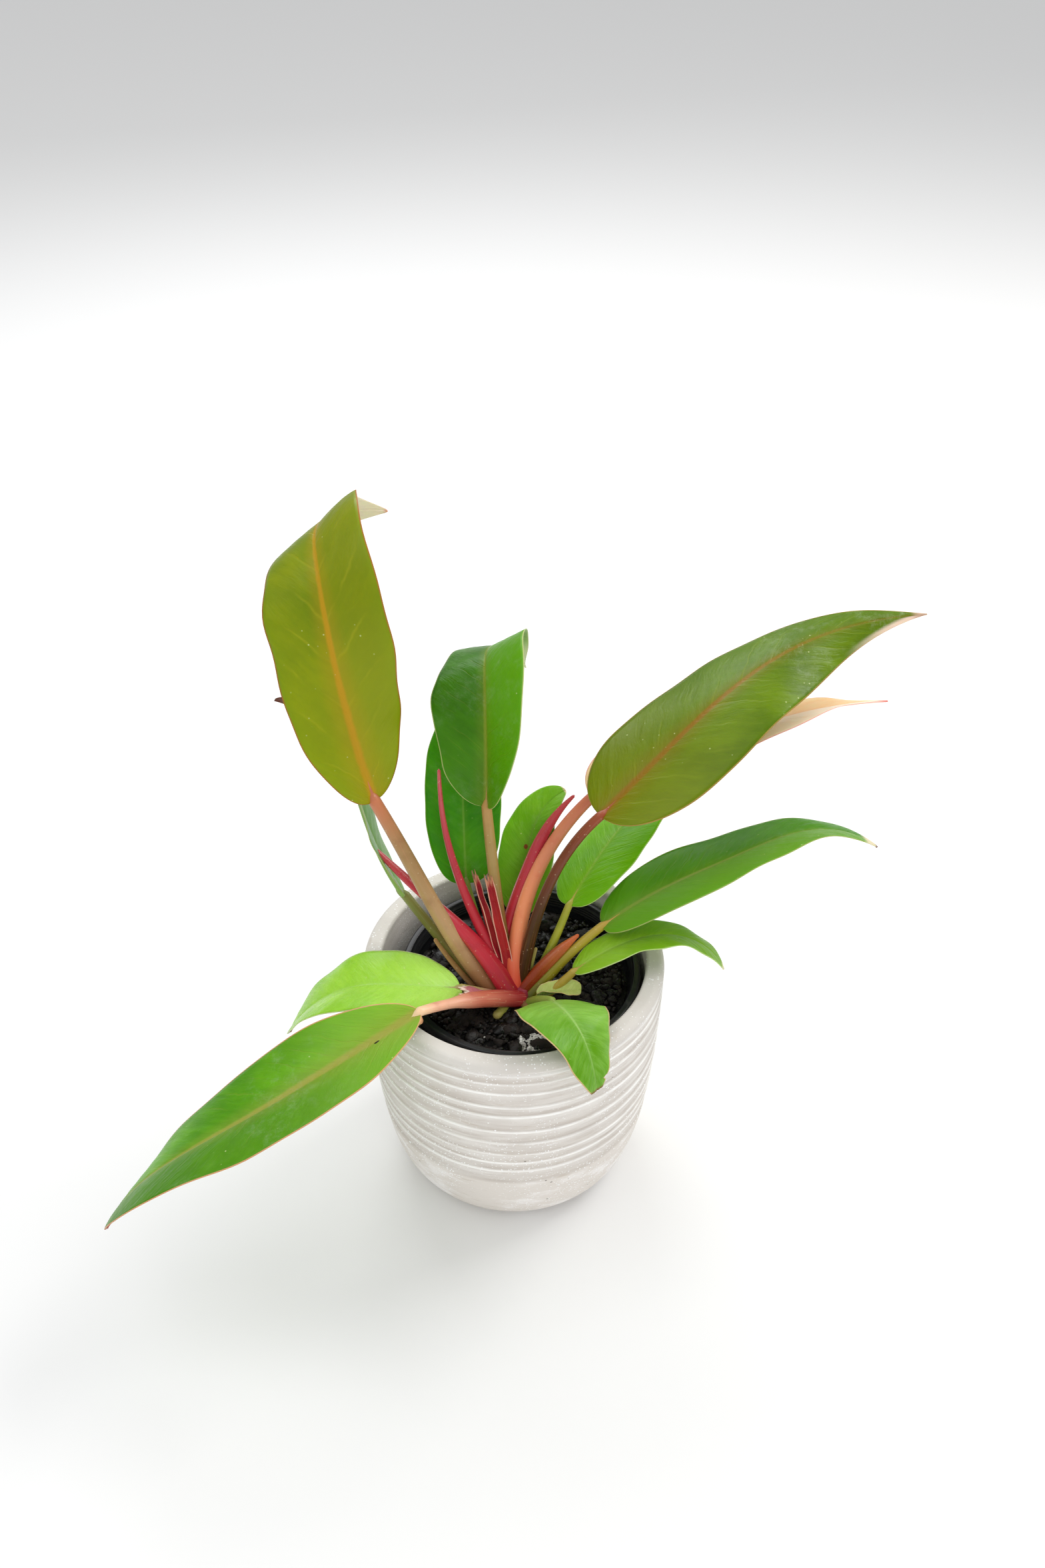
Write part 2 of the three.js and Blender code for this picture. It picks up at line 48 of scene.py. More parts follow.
table_mesh = bpy.data.meshes.new("table_top")
table_turns = ((-1, -1), (1, -1), (1, 1), (-1, 1))
table_corners = [(x * TABLE_HALF, y * TABLE_HALF, 0) for x, y in table_turns]
table_mesh.from_pydata(table_corners, [], [(0, 1, 2, 3)])
table_top = bpy.data.objects.new("table_top", table_mesh)
bpy.context.scene.collection.objects.link(table_top)
table_paint = bpy.data.materials.new("pale_table")
table_paint.use_nodes = True
table_skin = table_paint.node_tree.nodes["Principled BSDF"]
table_skin.inputs["Base Color"].default_value = TABLE_COLOUR
table_skin.inputs["Roughness"].default_value = 0.75
table_mesh.materials.append(table_paint)

SKY_STRENGTH = 0.74
SKY_IN_GLOSS = 0.24
world = bpy.data.worlds.new("bright_room")
world.use_nodes = True
sky = world.node_tree.nodes["Background"]
sky.inputs["Color"].default_value = (0.985, 0.99, 1.0, 1)
sky_level = world.node_tree.nodes.new("ShaderNodeMapRange")
sky_level.inputs["To Min"].default_value = SKY_STRENGTH
sky_level.inputs["To Max"].default_value = SKY_IN_GLOSS
sky_ray = world.node_tree.nodes.new("ShaderNodeLightPath")
world.node_tree.links.new(sky_ray.outputs["Is Glossy Ray"], sky_level.inputs["Value"])
world.node_tree.links.new(sky_level.outputs["Result"], sky.inputs["Strength"])
bpy.context.scene.world = world
bpy.context.scene.view_settings.view_transform = "Standard"


def soft_light(name, place, aim_height, width, power, colour):
    """A square soft lamp, turned towards a point on the plant's upright axis."""
    lamp = bpy.data.lights.new(name, "AREA")
    lamp.shape = "SQUARE"
    lamp.size = width
    lamp.energy = power
    lamp.color = colour
    holder = bpy.data.objects.new(name, lamp)
    bpy.context.scene.collection.objects.link(holder)
    holder.location = place
    direction = np.array((0, 0, aim_height)) - np.array(place, float)
    holder.rotation_euler = (
        math.atan2(math.hypot(direction[0], direction[1]), -direction[2]),
        0,
        math.atan2(direction[0], -direction[1]) + math.pi,
    )
    holder.visible_camera = False
    return holder


soft_light("window_right", (0.85, 0.55, 1.1), 0.12, 0.7, 9, (1.0, 0.985, 0.96))
soft_light("lamp_left", (-0.6, -0.1, 1.3), 0.12, 0.9, 3, (0.97, 0.985, 1.0))
front_fill = soft_light("lamp_front", (0.25, -1.3, 0.75), 0.06, 0.9, 5, (1.0, 0.99, 0.98))
front_fill.visible_glossy = False
soft_light("lamp_back", (-0.25, 1.0, 0.95), 0.12, 0.7, 5, (0.98, 0.99, 1.0))

CAMERA_PLACE = (0.0037, -0.4736, 0.5782)
CAMERA_TILT = 38.0
camera = bpy.data.objects.new("camera", bpy.data.cameras.new("camera"))
camera.data.lens = 35
camera.data.sensor_width = 36
camera.location = CAMERA_PLACE
camera.rotation_euler = (math.radians(90 - CAMERA_TILT), 0, 0)
bpy.context.scene.collection.objects.link(camera)
bpy.context.scene.camera = camera

# ---- Planter ---------------------------------------------------------------------------------
# A round cement cover pot, cast and turned: rounded rim, ridges running round the wall with
# shallow flutes between them, and a plain band above the flat foot. It is washed in white.
# The top edge of every ridge carries a painted near-white highlight that fades down its band,
# and the rim carries a weaker share of the same painted highlight.

MM = 0.001
PLANTER_HEIGHT = 115
RIM_RADIUS = 65
FOOT_RADIUS = 40
PLANTER_WALL = 8
PLANTER_FLOOR = 8
BARREL_CURVE = 0.3
RIM_BAND = 5
FLUTE_DEPTH = 0.8
RIDGE_SPACINGS = [5, 6.5, 8.5, 6, 10, 7.5, 8, 6, 6.5, 9]
PLANTER_TURNS = 224
RIM_ROUNDING = 3.4
INNER_ROUNDING = 1.6
RIDGE_WANDER = 0.35
LEDGE_HEIGHT = 0.6
FLUTE_CROWN = 0.12
BAND_SHARES = [1.0, 0.985, 0.94, 0.86, 0.74, 0.6, 0.45, 0.3, 0.16, 0.06, 0.0]


def barrel_radius(z):
    depth = 1 - np.asarray(z, float) / PLANTER_HEIGHT
    return FOOT_RADIUS + (RIM_RADIUS - FOOT_RADIUS) * np.maximum(1 - depth * depth, 0) ** BARREL_CURVE


def show(name, mesh, material, slot, *nodes):
    """Puts a finished mesh on the plant's body, in place of the CAD nodes that it details."""
    piece = bpy.data.objects.new(name, mesh)
    bpy.context.scene.collection.objects.link(piece)
    if material:
        mesh.materials.clear()
        mesh.materials.append(material)
    mesh.polygons.foreach_set("use_smooth", [True] * len(mesh.polygons))
    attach(piece, "root")
    if nodes:
        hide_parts(*nodes)
    return piece


def mark_points(mesh, label, values):
    """Keeps one number for each point of a mesh, for its material to read."""
    held = mesh.attributes.new(label, "FLOAT", "POINT")
    held.data.foreach_set("value", values.astype(np.float32))


def revolved(name, rings, turns, centre=(0, 0), values=None):
    """A closed turned shape: rings is an array of (radius, height) in millimetres for every
    turn, both ends on the axis; values is one number for each ring and turn, kept as 'ridge'."""
    radius, height = rings
    count = radius.shape[0]
    angle = np.linspace(0, 2 * np.pi, turns, endpoint=False)
    x = radius * np.cos(angle) + centre[0]
    y = radius * np.sin(angle) + centre[1]
    body = np.stack([x, y, height], -1).reshape(-1, 3)
    bottom = [centre[0], centre[1], height[0].mean()]
    top = [centre[0], centre[1], height[-1].mean()]
    points = np.vstack([body, bottom, top]) * MM
    faces = []
    for ring in range(count - 1):
        for k in range(turns):
            a = ring * turns + k
            b = ring * turns + (k + 1) % turns
            faces.append((a, b, b + turns, a + turns))
    first, last = count * turns, count * turns + 1
    for k in range(turns):
        faces.append((first, (k + 1) % turns, k))
        faces.append((last, (count - 1) * turns + k, (count - 1) * turns + (k + 1) % turns))
    mesh = bpy.data.meshes.new(name)
    mesh.from_pydata(points.tolist(), [], faces)
    if values is not None:
        mark_points(mesh, "ridge_highlight", np.append(values.reshape(-1), [0, 0]))
    return mesh


def smooth_rings(profile, turns):
    """A plain profile of (radius, height) pairs, the same at every turn."""
    flat = np.array(profile, float)
    return np.repeat(flat[:, :1], turns, 1), np.repeat(flat[:, 1:], turns, 1)


def arc(centre, radius, start, end, steps):
    angles = np.radians(np.linspace(start, end, steps))
    return [(centre[0] + radius * math.cos(a), centre[1] + radius * math.sin(a)) for a in angles]


ridge_heights = PLANTER_HEIGHT - RIM_BAND - np.cumsum([0] + RIDGE_SPACINGS)
planter_angle = np.linspace(0, 2 * np.pi, PLANTER_TURNS, endpoint=False)
ridge_lines = []
for order, ridge_height in enumerate(ridge_heights):
    sway = np.sin(planter_angle + 0.9 * order) + 0.5 * np.sin(2 * planter_angle + 2.3 * order + 1.0)
    sway = sway + 0.3 * np.sin(5 * planter_angle + 1.7 * order)
    ridge_lines.append(ridge_height + RIDGE_WANDER * sway * (0.4 if order in (0, 10) else 1))
wall_rings_r, wall_rings_z, wall_rings_highlight = [], [], []
foot_heights = [np.linspace(0.12, 2, 7), np.linspace(2.6, 12, 14), np.linspace(12.8, 36.0, 28)]
for z in np.concatenate(foot_heights):
    wall_rings_z.append(np.full(PLANTER_TURNS, z))
    wall_rings_r.append(np.full(PLANTER_TURNS, float(barrel_radius(z))))
    wall_rings_highlight.append(np.zeros(PLANTER_TURNS))
for order in range(len(ridge_lines) - 2, -1, -1):
    upper_line, lower_line = ridge_lines[order], ridge_lines[order + 1]
    strength = 0.62 + 0.38 * np.sin(planter_angle * (1 + order % 2) + 2.1 * order)
    depth = FLUTE_DEPTH * (0.45 + 0.55 * np.clip(strength, 0, 1))
    for share in reversed(BAND_SHARES):
        z = lower_line + LEDGE_HEIGHT + share * (upper_line - lower_line - LEDGE_HEIGHT)
        wall_rings_z.append(z)
        crown_of_band = FLUTE_CROWN * math.sin(math.pi * share)
        wall_rings_r.append(barrel_radius(z) - depth * (1 - share) ** 0.8 + crown_of_band)
        # Painted highlight: the share of near-white on each band, full along its top edge where the ledge
        # faces the light, fading down the band.
        ridge_highlight_share = 1.0 if share > 0.93 else 0.5 * share**1.3
        wall_rings_highlight.append(ridge_highlight_share * np.clip(0.6 + 0.6 * strength, 0, 1))
    if order:
        wall_rings_z.append(upper_line + 0.05)
        wall_rings_r.append(wall_rings_r[-1] - 0.03)
        wall_rings_highlight.append(wall_rings_highlight[-1])
wall_radius = np.array(wall_rings_r)
wall_z = np.array(wall_rings_z)
ridge_highlight_mask = np.array(wall_rings_highlight)
under_rim = ((110.4, 0.75), (110.9, 0.6), (111.2, 0.35))
rim_profile = [(float(barrel_radius(z)) - drop, z) for z, drop in under_rim]
outer_centre = (RIM_RADIUS - RIM_ROUNDING, PLANTER_HEIGHT - RIM_ROUNDING)
inner_centre = (RIM_RADIUS - PLANTER_WALL + INNER_ROUNDING, PLANTER_HEIGHT - INNER_ROUNDING)
rim_profile += arc(outer_centre, RIM_ROUNDING, 6, 90, 12)
rim_profile += arc(inner_centre, INNER_ROUNDING, 90, 180, 8)
inner_heights = np.linspace(PLANTER_HEIGHT - 4, PLANTER_FLOOR + 1, 40)
rim_profile += [(float(barrel_radius(z)) - PLANTER_WALL, z) for z in inner_heights]
rim_profile += [(float(barrel_radius(PLANTER_FLOOR)) - PLANTER_WALL - 1, PLANTER_FLOOR), (2, PLANTER_FLOOR)]
foot_profile = [(2, 0), (FOOT_RADIUS - 1, 0), (FOOT_RADIUS, 0.02)]
foot_r, foot_z = smooth_rings(foot_profile, PLANTER_TURNS)
rim_r, rim_z = smooth_rings(rim_profile, PLANTER_TURNS)
planter_rings = (np.vstack([foot_r, wall_radius, rim_r]), np.vstack([foot_z, wall_z, rim_z]))
planter_highlight = np.vstack([np.zeros_like(foot_r), ridge_highlight_mask, np.full_like(rim_r, 0.35)])
planter_mesh = revolved("planter", planter_rings, PLANTER_TURNS, values=planter_highlight)


def linear(hex_colour):
    """A colour written as red, green and blue in hexadecimal, in the renderer's linear light."""
    parts = [int(hex_colour[i : i + 2], 16) / 255 for i in (1, 3, 5)]
    return (*[p / 12.92 if p <= 0.04045 else ((p + 0.055) / 1.055) ** 2.4 for p in parts], 1)


class Shader:
    """Short calls for adding and joining a material's nodes. 'tint' is the colour built so far."""

    def __init__(self, name, tree=None):
        if tree is None:
            self.material = bpy.data.materials.new(name)
            self.material.use_nodes = True
            tree = self.material.node_tree
            self.skin = tree.nodes["Principled BSDF"]
        self.tree = tree

    def fill(self, node, values):
        """Joins each socket to another node's output, or gives it a plain value or a colour."""
        for key, value in values.items():
            if isinstance(value, bpy.types.NodeSocket):
                self.tree.links.new(value, node.inputs[key])
            elif isinstance(value, str) and value.startswith("#"):
                node.inputs[key].default_value = linear(value)
            else:
                node.inputs[key].default_value = value
        return node

    def node(self, kind, inputs=None, **settings):
        made = self.tree.nodes.new(kind)
        for key, value in settings.items():
            setattr(made, key, value)
        return self.fill(made, inputs or {})

    def value(self, name):
        return self.node("ShaderNodeAttribute", attribute_name=name).outputs["Fac"]

    def places(self, stretch=(1, 1, 1)):
        source = self.node("ShaderNodeTexCoord").outputs["Object"]
        return self.node("ShaderNodeMapping", {"Vector": source, "Scale": stretch}).outputs["Vector"]

    def noise(self, vector, scale, detail=3, roughness=0.55):
        inputs = {"Vector": vector, "Scale": scale, "Detail": detail, "Roughness": roughness}
        return self.node("ShaderNodeTexNoise", inputs).outputs["Fac"]

    def cells(self, vector, scale):
        inputs = {"Vector": vector, "Scale": scale}
        return self.node("ShaderNodeTexVoronoi", inputs).outputs["Distance"]

    def math(self, operation, *values):
        inputs = dict(enumerate(values))
        return self.node("ShaderNodeMath", inputs, operation=operation).outputs[0]

    def times(self, first, second):
        return self.math("MULTIPLY", first, second)

    def span(self, value, low, high, to_low=0.0, to_high=1.0, smooth=True):
        inputs = {"Value": value, "From Min": low, "From Max": high, "To Min": to_low, "To Max": to_high}
        kind = "SMOOTHSTEP" if smooth else "LINEAR"
        return self.node("ShaderNodeMapRange", inputs, interpolation_type=kind).outputs["Result"]

    def mix(self, share, first, second):
        return self.node("ShaderNodeMix", {0: share, 6: first, 7: second}, data_type="RGBA").outputs[2]

    def wash(self, share, colour):
        """Lays a share of a colour over the tint built so far."""
        self.tint = self.mix(share, self.tint, colour)

    def bump(self, height, strength, distance):
        inputs = {"Height": height, "Strength": strength, "Distance": distance}
        return self.node("ShaderNodeBump", inputs).outputs["Normal"]

    def dress(self, values):
        """Gives the skin its tint and its other values, and returns the finished material."""
        self.fill(self.skin, {"Base Color": self.tint, **values})
        return self.material


cement = Shader("washed_cement")
cement_place = cement.places()
streak_place = cement.places((1, 1, 7))
height_place = cement.node("ShaderNodeSeparateXYZ", {"Vector": cement_place}).outputs["Z"]
ridge_highlight_value = cement.value("ridge_highlight")
cloud = cement.noise(streak_place, 40, 5)
broad_cloud = cement.noise(cement_place, 16, 4)
cement.tint = cement.mix(cement.span(cloud, 0.35, 0.68), "#c7bfb7", "#dcd7d1")
cement.wash(cement.span(broad_cloud, 0.42, 0.66), "#d1cac2")
foot_cloud = cement.noise(cement.places((1, 1, 2.2)), 38, 5, 0.6)
foot_tint = cement.mix(cement.span(foot_cloud, 0.5, 0.66), "#e0dad3", "#f0edea")
cement.wash(cement.span(height_place, 0.0355, 0.0375, 1, 0), foot_tint)
# Painted highlight in near-white on the ridges, and a weaker one on the rim.
highlight_cloud = cement.span(cement.noise(cement_place, 70, 4), 0.3, 0.6, 0.65, 1)
cement.wash(cement.times(ridge_highlight_value, highlight_cloud), "#fbfaf7")
rim_tint = cement.mix(cement.span(broad_cloud, 0.4, 0.65), "#d0cbc4", "#dad6d0")
cement.wash(cement.span(height_place, 0.1112, 0.1128), rim_tint)
stain = cement.times(cement.span(cement.noise(streak_place, 75, 5, 0.65), 0.56, 0.7), 0.4)
cement.wash(stain, "#c0b4a4")
fleck_cells = cement.cells(cement_place, 620)
fleck_zone = cement.span(cement.noise(cement_place, 30, 4), 0.38, 0.56)
flecks = cement.times(cement.span(fleck_cells, 0.17, 0.25, 1, 0), fleck_zone)
big_fleck_cells = cement.cells(cement.places((1, 1, 1.2)), 330)
big_fleck_zone = cement.span(cement.noise(cement_place, 24, 3), 0.5, 0.6)
big_flecks = cement.times(cement.span(big_fleck_cells, 0.11, 0.17, 1, 0), big_fleck_zone)
flecks = cement.math("MAXIMUM", flecks, big_flecks)
cement.wash(cement.times(flecks, 0.95), "#ffffff")
pit_cells = cement.cells(cement.places((1, 1, 1.3)), 150)
pit_zone = cement.span(cement.noise(cement_place, 25, 2), 0.56, 0.64)
pits = cement.times(cement.span(pit_cells, 0.06, 0.1, 1, 0), pit_zone)
cement.wash(cement.times(pits, 0.75), "#6d655a")
grit = cement.noise(cement_place, 900, 4, 0.7)
turning = cement.noise(cement.places((1, 1, 16)), 90, 3)
relief = cement.math("MULTIPLY_ADD", turning, 0.7, cement.times(grit, 0.5))
relief = cement.math("SUBTRACT", relief, cement.times(pits, 1.5))
relief = cement.math("ADD", relief, cement.times(flecks, 0.6))
relief = cement.bump(relief, 0.5, 0.0004)
cement.dress({"Roughness": 0.82, "Specular IOR Level": 0.3, "Normal": relief})
show("planter_body", planter_mesh, cement.material, "cement", "planter")

# ---- Nursery pot -----------------------------------------------------------------------------
# The thin black plastic pot that the plant was grown in, moulded with a rolled lip and a few
# fine rings inside, standing loose in the planter.

NURSERY_DROP = 7
NURSERY_SHIFT = 3
NURSERY_FOOT_RADIUS = 37
NURSERY_WALL = 1.4
LIP_RADIUS = 52
LIP_WIDTH = 3
LIP_HEIGHT = 6
LIP_ROUNDING = 1.1
LIP_INNER_ROUNDING = 0.6
FOOT_ROUNDING = 2
RING_DROPS = (2.6, 3.9, 5.2, 6.5)
NURSERY_TURNS = 160
lip_top = PLANTER_HEIGHT - NURSERY_DROP
nursery_foot = PLANTER_FLOOR + 0.3


def nursery_radius(z):
    share = (z - nursery_foot) / (lip_top - nursery_foot)
    return NURSERY_FOOT_RADIUS + (LIP_RADIUS - LIP_WIDTH - NURSERY_FOOT_RADIUS) * share


under_lip = lip_top - LIP_HEIGHT
pot_profile = [(2, nursery_foot), (NURSERY_FOOT_RADIUS - 3, nursery_foot)]
foot_centre = (NURSERY_FOOT_RADIUS - FOOT_ROUNDING, nursery_foot + FOOT_ROUNDING)
pot_profile += arc(foot_centre, FOOT_ROUNDING, -90, 0, 6)
pot_profile += [(nursery_radius(z), z) for z in np.linspace(nursery_foot + 5, under_lip, 12)]
pot_profile += [(LIP_RADIUS - 0.3, under_lip + 0.6), (LIP_RADIUS, under_lip + 1.2)]
pot_profile += [(LIP_RADIUS, lip_top - 1.4)]
pot_profile += arc((LIP_RADIUS - LIP_ROUNDING, lip_top - LIP_ROUNDING), LIP_ROUNDING, 0, 90, 7)
lip_inside = (LIP_RADIUS - LIP_WIDTH + LIP_INNER_ROUNDING, lip_top - LIP_INNER_ROUNDING)
pot_profile += arc(lip_inside, LIP_INNER_ROUNDING, 90, 180, 5)
for drop in RING_DROPS:
    ring_height = lip_top - drop
    step_in = nursery_radius(ring_height) - 0.15
    pot_profile += [(step_in, ring_height + 0.5), (step_in - 0.4, ring_height + 0.2)]
    pot_profile += [(step_in - 0.4, ring_height - 0.1), (step_in - 0.1, ring_height - 0.4)]
inside_heights = np.linspace(lip_top - 9, nursery_foot + NURSERY_WALL + 2, 10)
pot_profile += [(nursery_radius(z) - NURSERY_WALL, z) for z in inside_heights]
pot_profile += [(NURSERY_FOOT_RADIUS - NURSERY_WALL - 1, nursery_foot + NURSERY_WALL)]
pot_profile += [(2, nursery_foot + NURSERY_WALL)]
pot_rings = smooth_rings(pot_profile, NURSERY_TURNS)
pot_mesh = revolved("nursery_pot", pot_rings, NURSERY_TURNS, (NURSERY_SHIFT, 0))

plastic = Shader("black_pot_plastic")
dust = plastic.span(plastic.noise(plastic.places(), 130, 5, 0.7), 0.55, 0.75)
plastic.tint = plastic.mix(plastic.times(dust, 0.4), "#1c1d20", "#4b4844")
moulding = plastic.noise(plastic.places((1, 1, 12)), 180, 3)
plastic_rough = plastic.span(dust, 0, 1, 0.34, 0.6)
plastic.dress({"Roughness": plastic_rough, "Normal": plastic.bump(moulding, 0.25, 0.0002)})
show("nursery_pot_body", pot_mesh, plastic.material, "black_plastic", "nursery_pot")

# ---- Potting soil ----------------------------------------------------------------------------
# Dark damp potting mix packed round the crown: a lumpy bed of fine crumbs with bark chips lying
# on it, a few white grains, and one small woolly white clump near the front.

SOIL_DROP = 14
SOIL_TURNS = 120
SOIL_CLEARANCE = 0.2
CROWN_PLACE = (2, -9)
soil_top = PLANTER_HEIGHT - SOIL_DROP
soil_edge = nursery_radius(soil_top - 1.5) - NURSERY_WALL - SOIL_CLEARANCE


def lumps(x, y, seed, size):
    """A smooth irregular height between about -1 and 1."""
    rng = np.random.default_rng(seed)
    total = np.zeros_like(np.asarray(x, float))
    for octave in range(4):
        for _ in range(5):
            turn, phase = rng.uniform(0, 2 * np.pi, 2)
            wave = (x * np.cos(turn) + y * np.sin(turn)) / size * 2 * np.pi * 1.9**octave
            total = total + np.sin(wave + phase) * 0.5**octave / 3
    return total


soil_rings_r = np.linspace(soil_edge, 0.8, 56)
soil_angle = np.linspace(0, 2 * np.pi, SOIL_TURNS, endpoint=False)
soil_x = soil_rings_r[:, None] * np.cos(soil_angle)
soil_y = soil_rings_r[:, None] * np.sin(soil_angle)
bed_height = soil_top - 1.0 + 0.9 * lumps(soil_x, soil_y, 4, 26) + 0.35 * lumps(soil_x, soil_y, 9, 7)
from_crown = np.hypot(soil_x + NURSERY_SHIFT - CROWN_PLACE[0], soil_y - CROWN_PLACE[1])
crown_mound = 1.2 * np.exp(-((from_crown / 16) ** 2))
bed_height = bed_height + crown_mound - 1.2 * (soil_rings_r[:, None] / soil_edge) ** 6
side_profile = [(2, nursery_foot + 2), (NURSERY_FOOT_RADIUS - 2.6, nursery_foot + 2)]
side_heights = np.linspace(nursery_foot + 4, soil_top - 5, 8)
side_profile += [(nursery_radius(z) - NURSERY_WALL - SOIL_CLEARANCE, z) for z in side_heights]
side_r, side_z = smooth_rings(side_profile, SOIL_TURNS)
bed_radius = np.repeat(soil_rings_r[:, None], SOIL_TURNS, 1)
bed_rings = (np.vstack([side_r, bed_radius]), np.vstack([side_z, bed_height]))
bed_mesh = revolved("soil_bed", bed_rings, SOIL_TURNS, (NURSERY_SHIFT, 0))

soil = Shader("dark_potting_mix")
soil_place = soil.places()
crumb_share = soil.span(soil.noise(soil_place, 420, 5, 0.7), 0.38, 0.7)
soil.tint = soil.mix(crumb_share, "#070606", "#1c1613")
soil.wash(soil.span(soil.noise(soil_place, 60, 3), 0.55, 0.75), "#0d0b0a")
soil_relief = soil.bump(soil.noise(soil_place, 700, 5, 0.75), 0.9, 0.0012)
soil.dress({"Roughness": 0.7, "Normal": soil_relief})
show("soil_bed", bed_mesh, soil.material, "potting_soil", "potting_soil")

bark = Shader("bark_chip")
chip_shade = bark.value("chip")
bark.tint = bark.mix(bark.span(chip_shade, 0.0, 1.0, smooth=False), "#050505", "#2a201b")
bark.wash(bark.span(bark.noise(bark.places(), 500, 4), 0.45, 0.75), "#0b0908")
bark_relief = bark.bump(bark.noise(bark.places((1, 1, 3)), 650, 4), 0.7, 0.0006)
bark.dress({"Roughness": bark.span(chip_shade, 0, 1, 0.3, 0.8), "Normal": bark_relief})

grain = Shader("white_grain")
grain_shade = grain.noise(grain.places(), 800, 3)
grain.tint = grain.mix(grain.span(grain_shade, 0.35, 0.7), "#a8a39c", "#f6f4f0")
grain.dress({"Roughness": 0.9, "Normal": grain.bump(grain_shade, 0.8, 0.0005)})


class Tree(Shader):
    """The same short calls for a geometry tree with named inputs."""

    def __init__(self, name, inputs):
        group = bpy.data.node_groups.new(name, "GeometryNodeTree")
        super().__init__(name, group)
        for label, kind in [("Geometry", "Geometry"), *inputs]:
            group.interface.new_socket(label, in_out="INPUT", socket_type="NodeSocket" + kind)
        group.interface.new_socket("Geometry", in_out="OUTPUT", socket_type="NodeSocketGeometry")
        self.entry = self.node("NodeGroupInput").outputs

    def keep(self, geometry, name, value, domain):
        """Stores a value on the geometry, for its material to read."""
        inputs = {"Geometry": geometry, "Name": name, "Value": value}
        kind = "GeometryNodeStoreNamedAttribute"
        return self.node(kind, inputs, data_type="FLOAT", domain=domain).outputs[0]

    def finish(self, geometry, material):
        """Ends the tree in Realize Instances and Set Material."""
        whole = self.node("GeometryNodeRealizeInstances", {"Geometry": geometry}).outputs[0]
        painted = self.node("GeometryNodeSetMaterial", {"Geometry": whole, "Material": material})
        self.node("NodeGroupOutput", {"Geometry": painted.outputs[0]})
        return self.tree


def grown(name, source, tree, settings):
    """The plain mesh that a geometry tree makes from a source object, its inputs set by name."""
    bpy.context.scene.collection.objects.link(source)
    modifier = source.modifiers.new("grow", "NODES")
    modifier.node_group = tree
    for item in tree.interface.items_tree:
        if item.in_out == "INPUT" and item.name in settings:
            modifier[item.identifier] = settings[item.name]
    bpy.context.view_layer.update()
    evaluated = source.evaluated_get(bpy.context.evaluated_depsgraph_get())
    mesh = bpy.data.meshes.new_from_object(evaluated)
    mesh.name = name
    source.modifiers.remove(modifier)
    bpy.data.objects.remove(source)
    return mesh


scatter_inputs = [
    ("Grain Size", "Float"),
    ("Size Spread", "Float"),
    ("Density", "Float"),
    ("Flatness", "Float"),
    ("Roughness", "Float"),
    ("Facets", "Int"),
    ("Seed", "Int"),
    ("Material", "Material"),
]
scatter = Tree("scattered_chips", scatter_inputs)
asked = scatter.entry


def random_number(seed, low, high):
    inputs = {2: low, 3: high, "Seed": seed}
    return scatter.node("FunctionNodeRandomValue", inputs, data_type="FLOAT").outputs[1]


spots = scatter.node(
    "GeometryNodeDistributePointsOnFaces",
    {"Mesh": asked["Geometry"], "Density": asked["Density"], "Seed": asked["Seed"]},
)
chip = scatter.node("GeometryNodeMeshIcoSphere", {"Radius": 1.0, "Subdivisions": asked["Facets"]})
low_size = scatter.math("SUBTRACT", 1.0, asked["Size Spread"])
high_size = scatter.math("ADD", 1.0, asked["Size Spread"])
size_now = scatter.times(random_number(asked["Seed"], low_size, high_size), asked["Grain Size"])
long_size = scatter.times(size_now, random_number(31, 0.7, 1.7))
flat_size = scatter.times(size_now, asked["Flatness"])
chip_size = scatter.node("ShaderNodeCombineXYZ", {"X": long_size, "Y": size_now, "Z": flat_size})
chip_turn = scatter.node(
    "FunctionNodeRandomValue",
    {0: (-0.7, -0.7, 0.0), 1: (0.7, 0.7, 6.283), "Seed": 77},
    data_type="FLOAT_VECTOR",
)
placed = scatter.node(
    "GeometryNodeInstanceOnPoints",
    {
        "Points": spots.outputs["Points"],
        "Instance": chip.outputs["Mesh"],
        "Rotation": chip_turn.outputs[0],
        "Scale": chip_size.outputs[0],
    },
)
marked = scatter.keep(placed.outputs[0], "chip", random_number(12, 0.0, 1.0), "INSTANCE")
loose = scatter.node("GeometryNodeRealizeInstances", {"Geometry": marked}).outputs[0]
chip_point = scatter.node("GeometryNodeInputPosition").outputs[0]
knobbly = scatter.node("ShaderNodeTexNoise", {"Scale": 420.0, "Detail": 2.0, "Vector": chip_point})
centred = scatter.node(
    "ShaderNodeVectorMath", {0: knobbly.outputs["Color"], 1: (0.5, 0.5, 0.5)}, operation="SUBTRACT"
)
push_size = scatter.times(asked["Grain Size"], asked["Roughness"])
pushed = scatter.node("ShaderNodeVectorMath", {0: centred.outputs[0], "Scale": push_size}, operation="SCALE")
shaken = scatter.node("GeometryNodeSetPosition", {"Geometry": loose, "Offset": pushed.outputs[0]})
scatter_tree = scatter.finish(shaken.outputs[0], asked["Material"])

PATCH_RINGS = 14
PATCH_TURNS = 60


def soil_patch(name, inner, outer, centre):
    """The part of the soil's surface between two circles, for scattering chips on."""
    rings = np.linspace(inner, outer, PATCH_RINGS)
    angle = np.linspace(0, 2 * np.pi, PATCH_TURNS, endpoint=False)
    x = rings[:, None] * np.cos(angle) + centre[0]
    y = rings[:, None] * np.sin(angle) + centre[1]
    z = soil_top - 0.7 + 0.9 * lumps(x - NURSERY_SHIFT, y, 4, 26)
    mesh = bpy.data.meshes.new(name)
    faces = []
    for ring in range(PATCH_RINGS - 1):
        for k in range(PATCH_TURNS):
            a, b = ring * PATCH_TURNS + k, ring * PATCH_TURNS + (k + 1) % PATCH_TURNS
            faces.append((a, a + PATCH_TURNS, b + PATCH_TURNS, b))
    mesh.from_pydata((np.stack([x, y, z], -1).reshape(-1, 3) * MM).tolist(), [], faces)
    return bpy.data.objects.new(name, mesh)


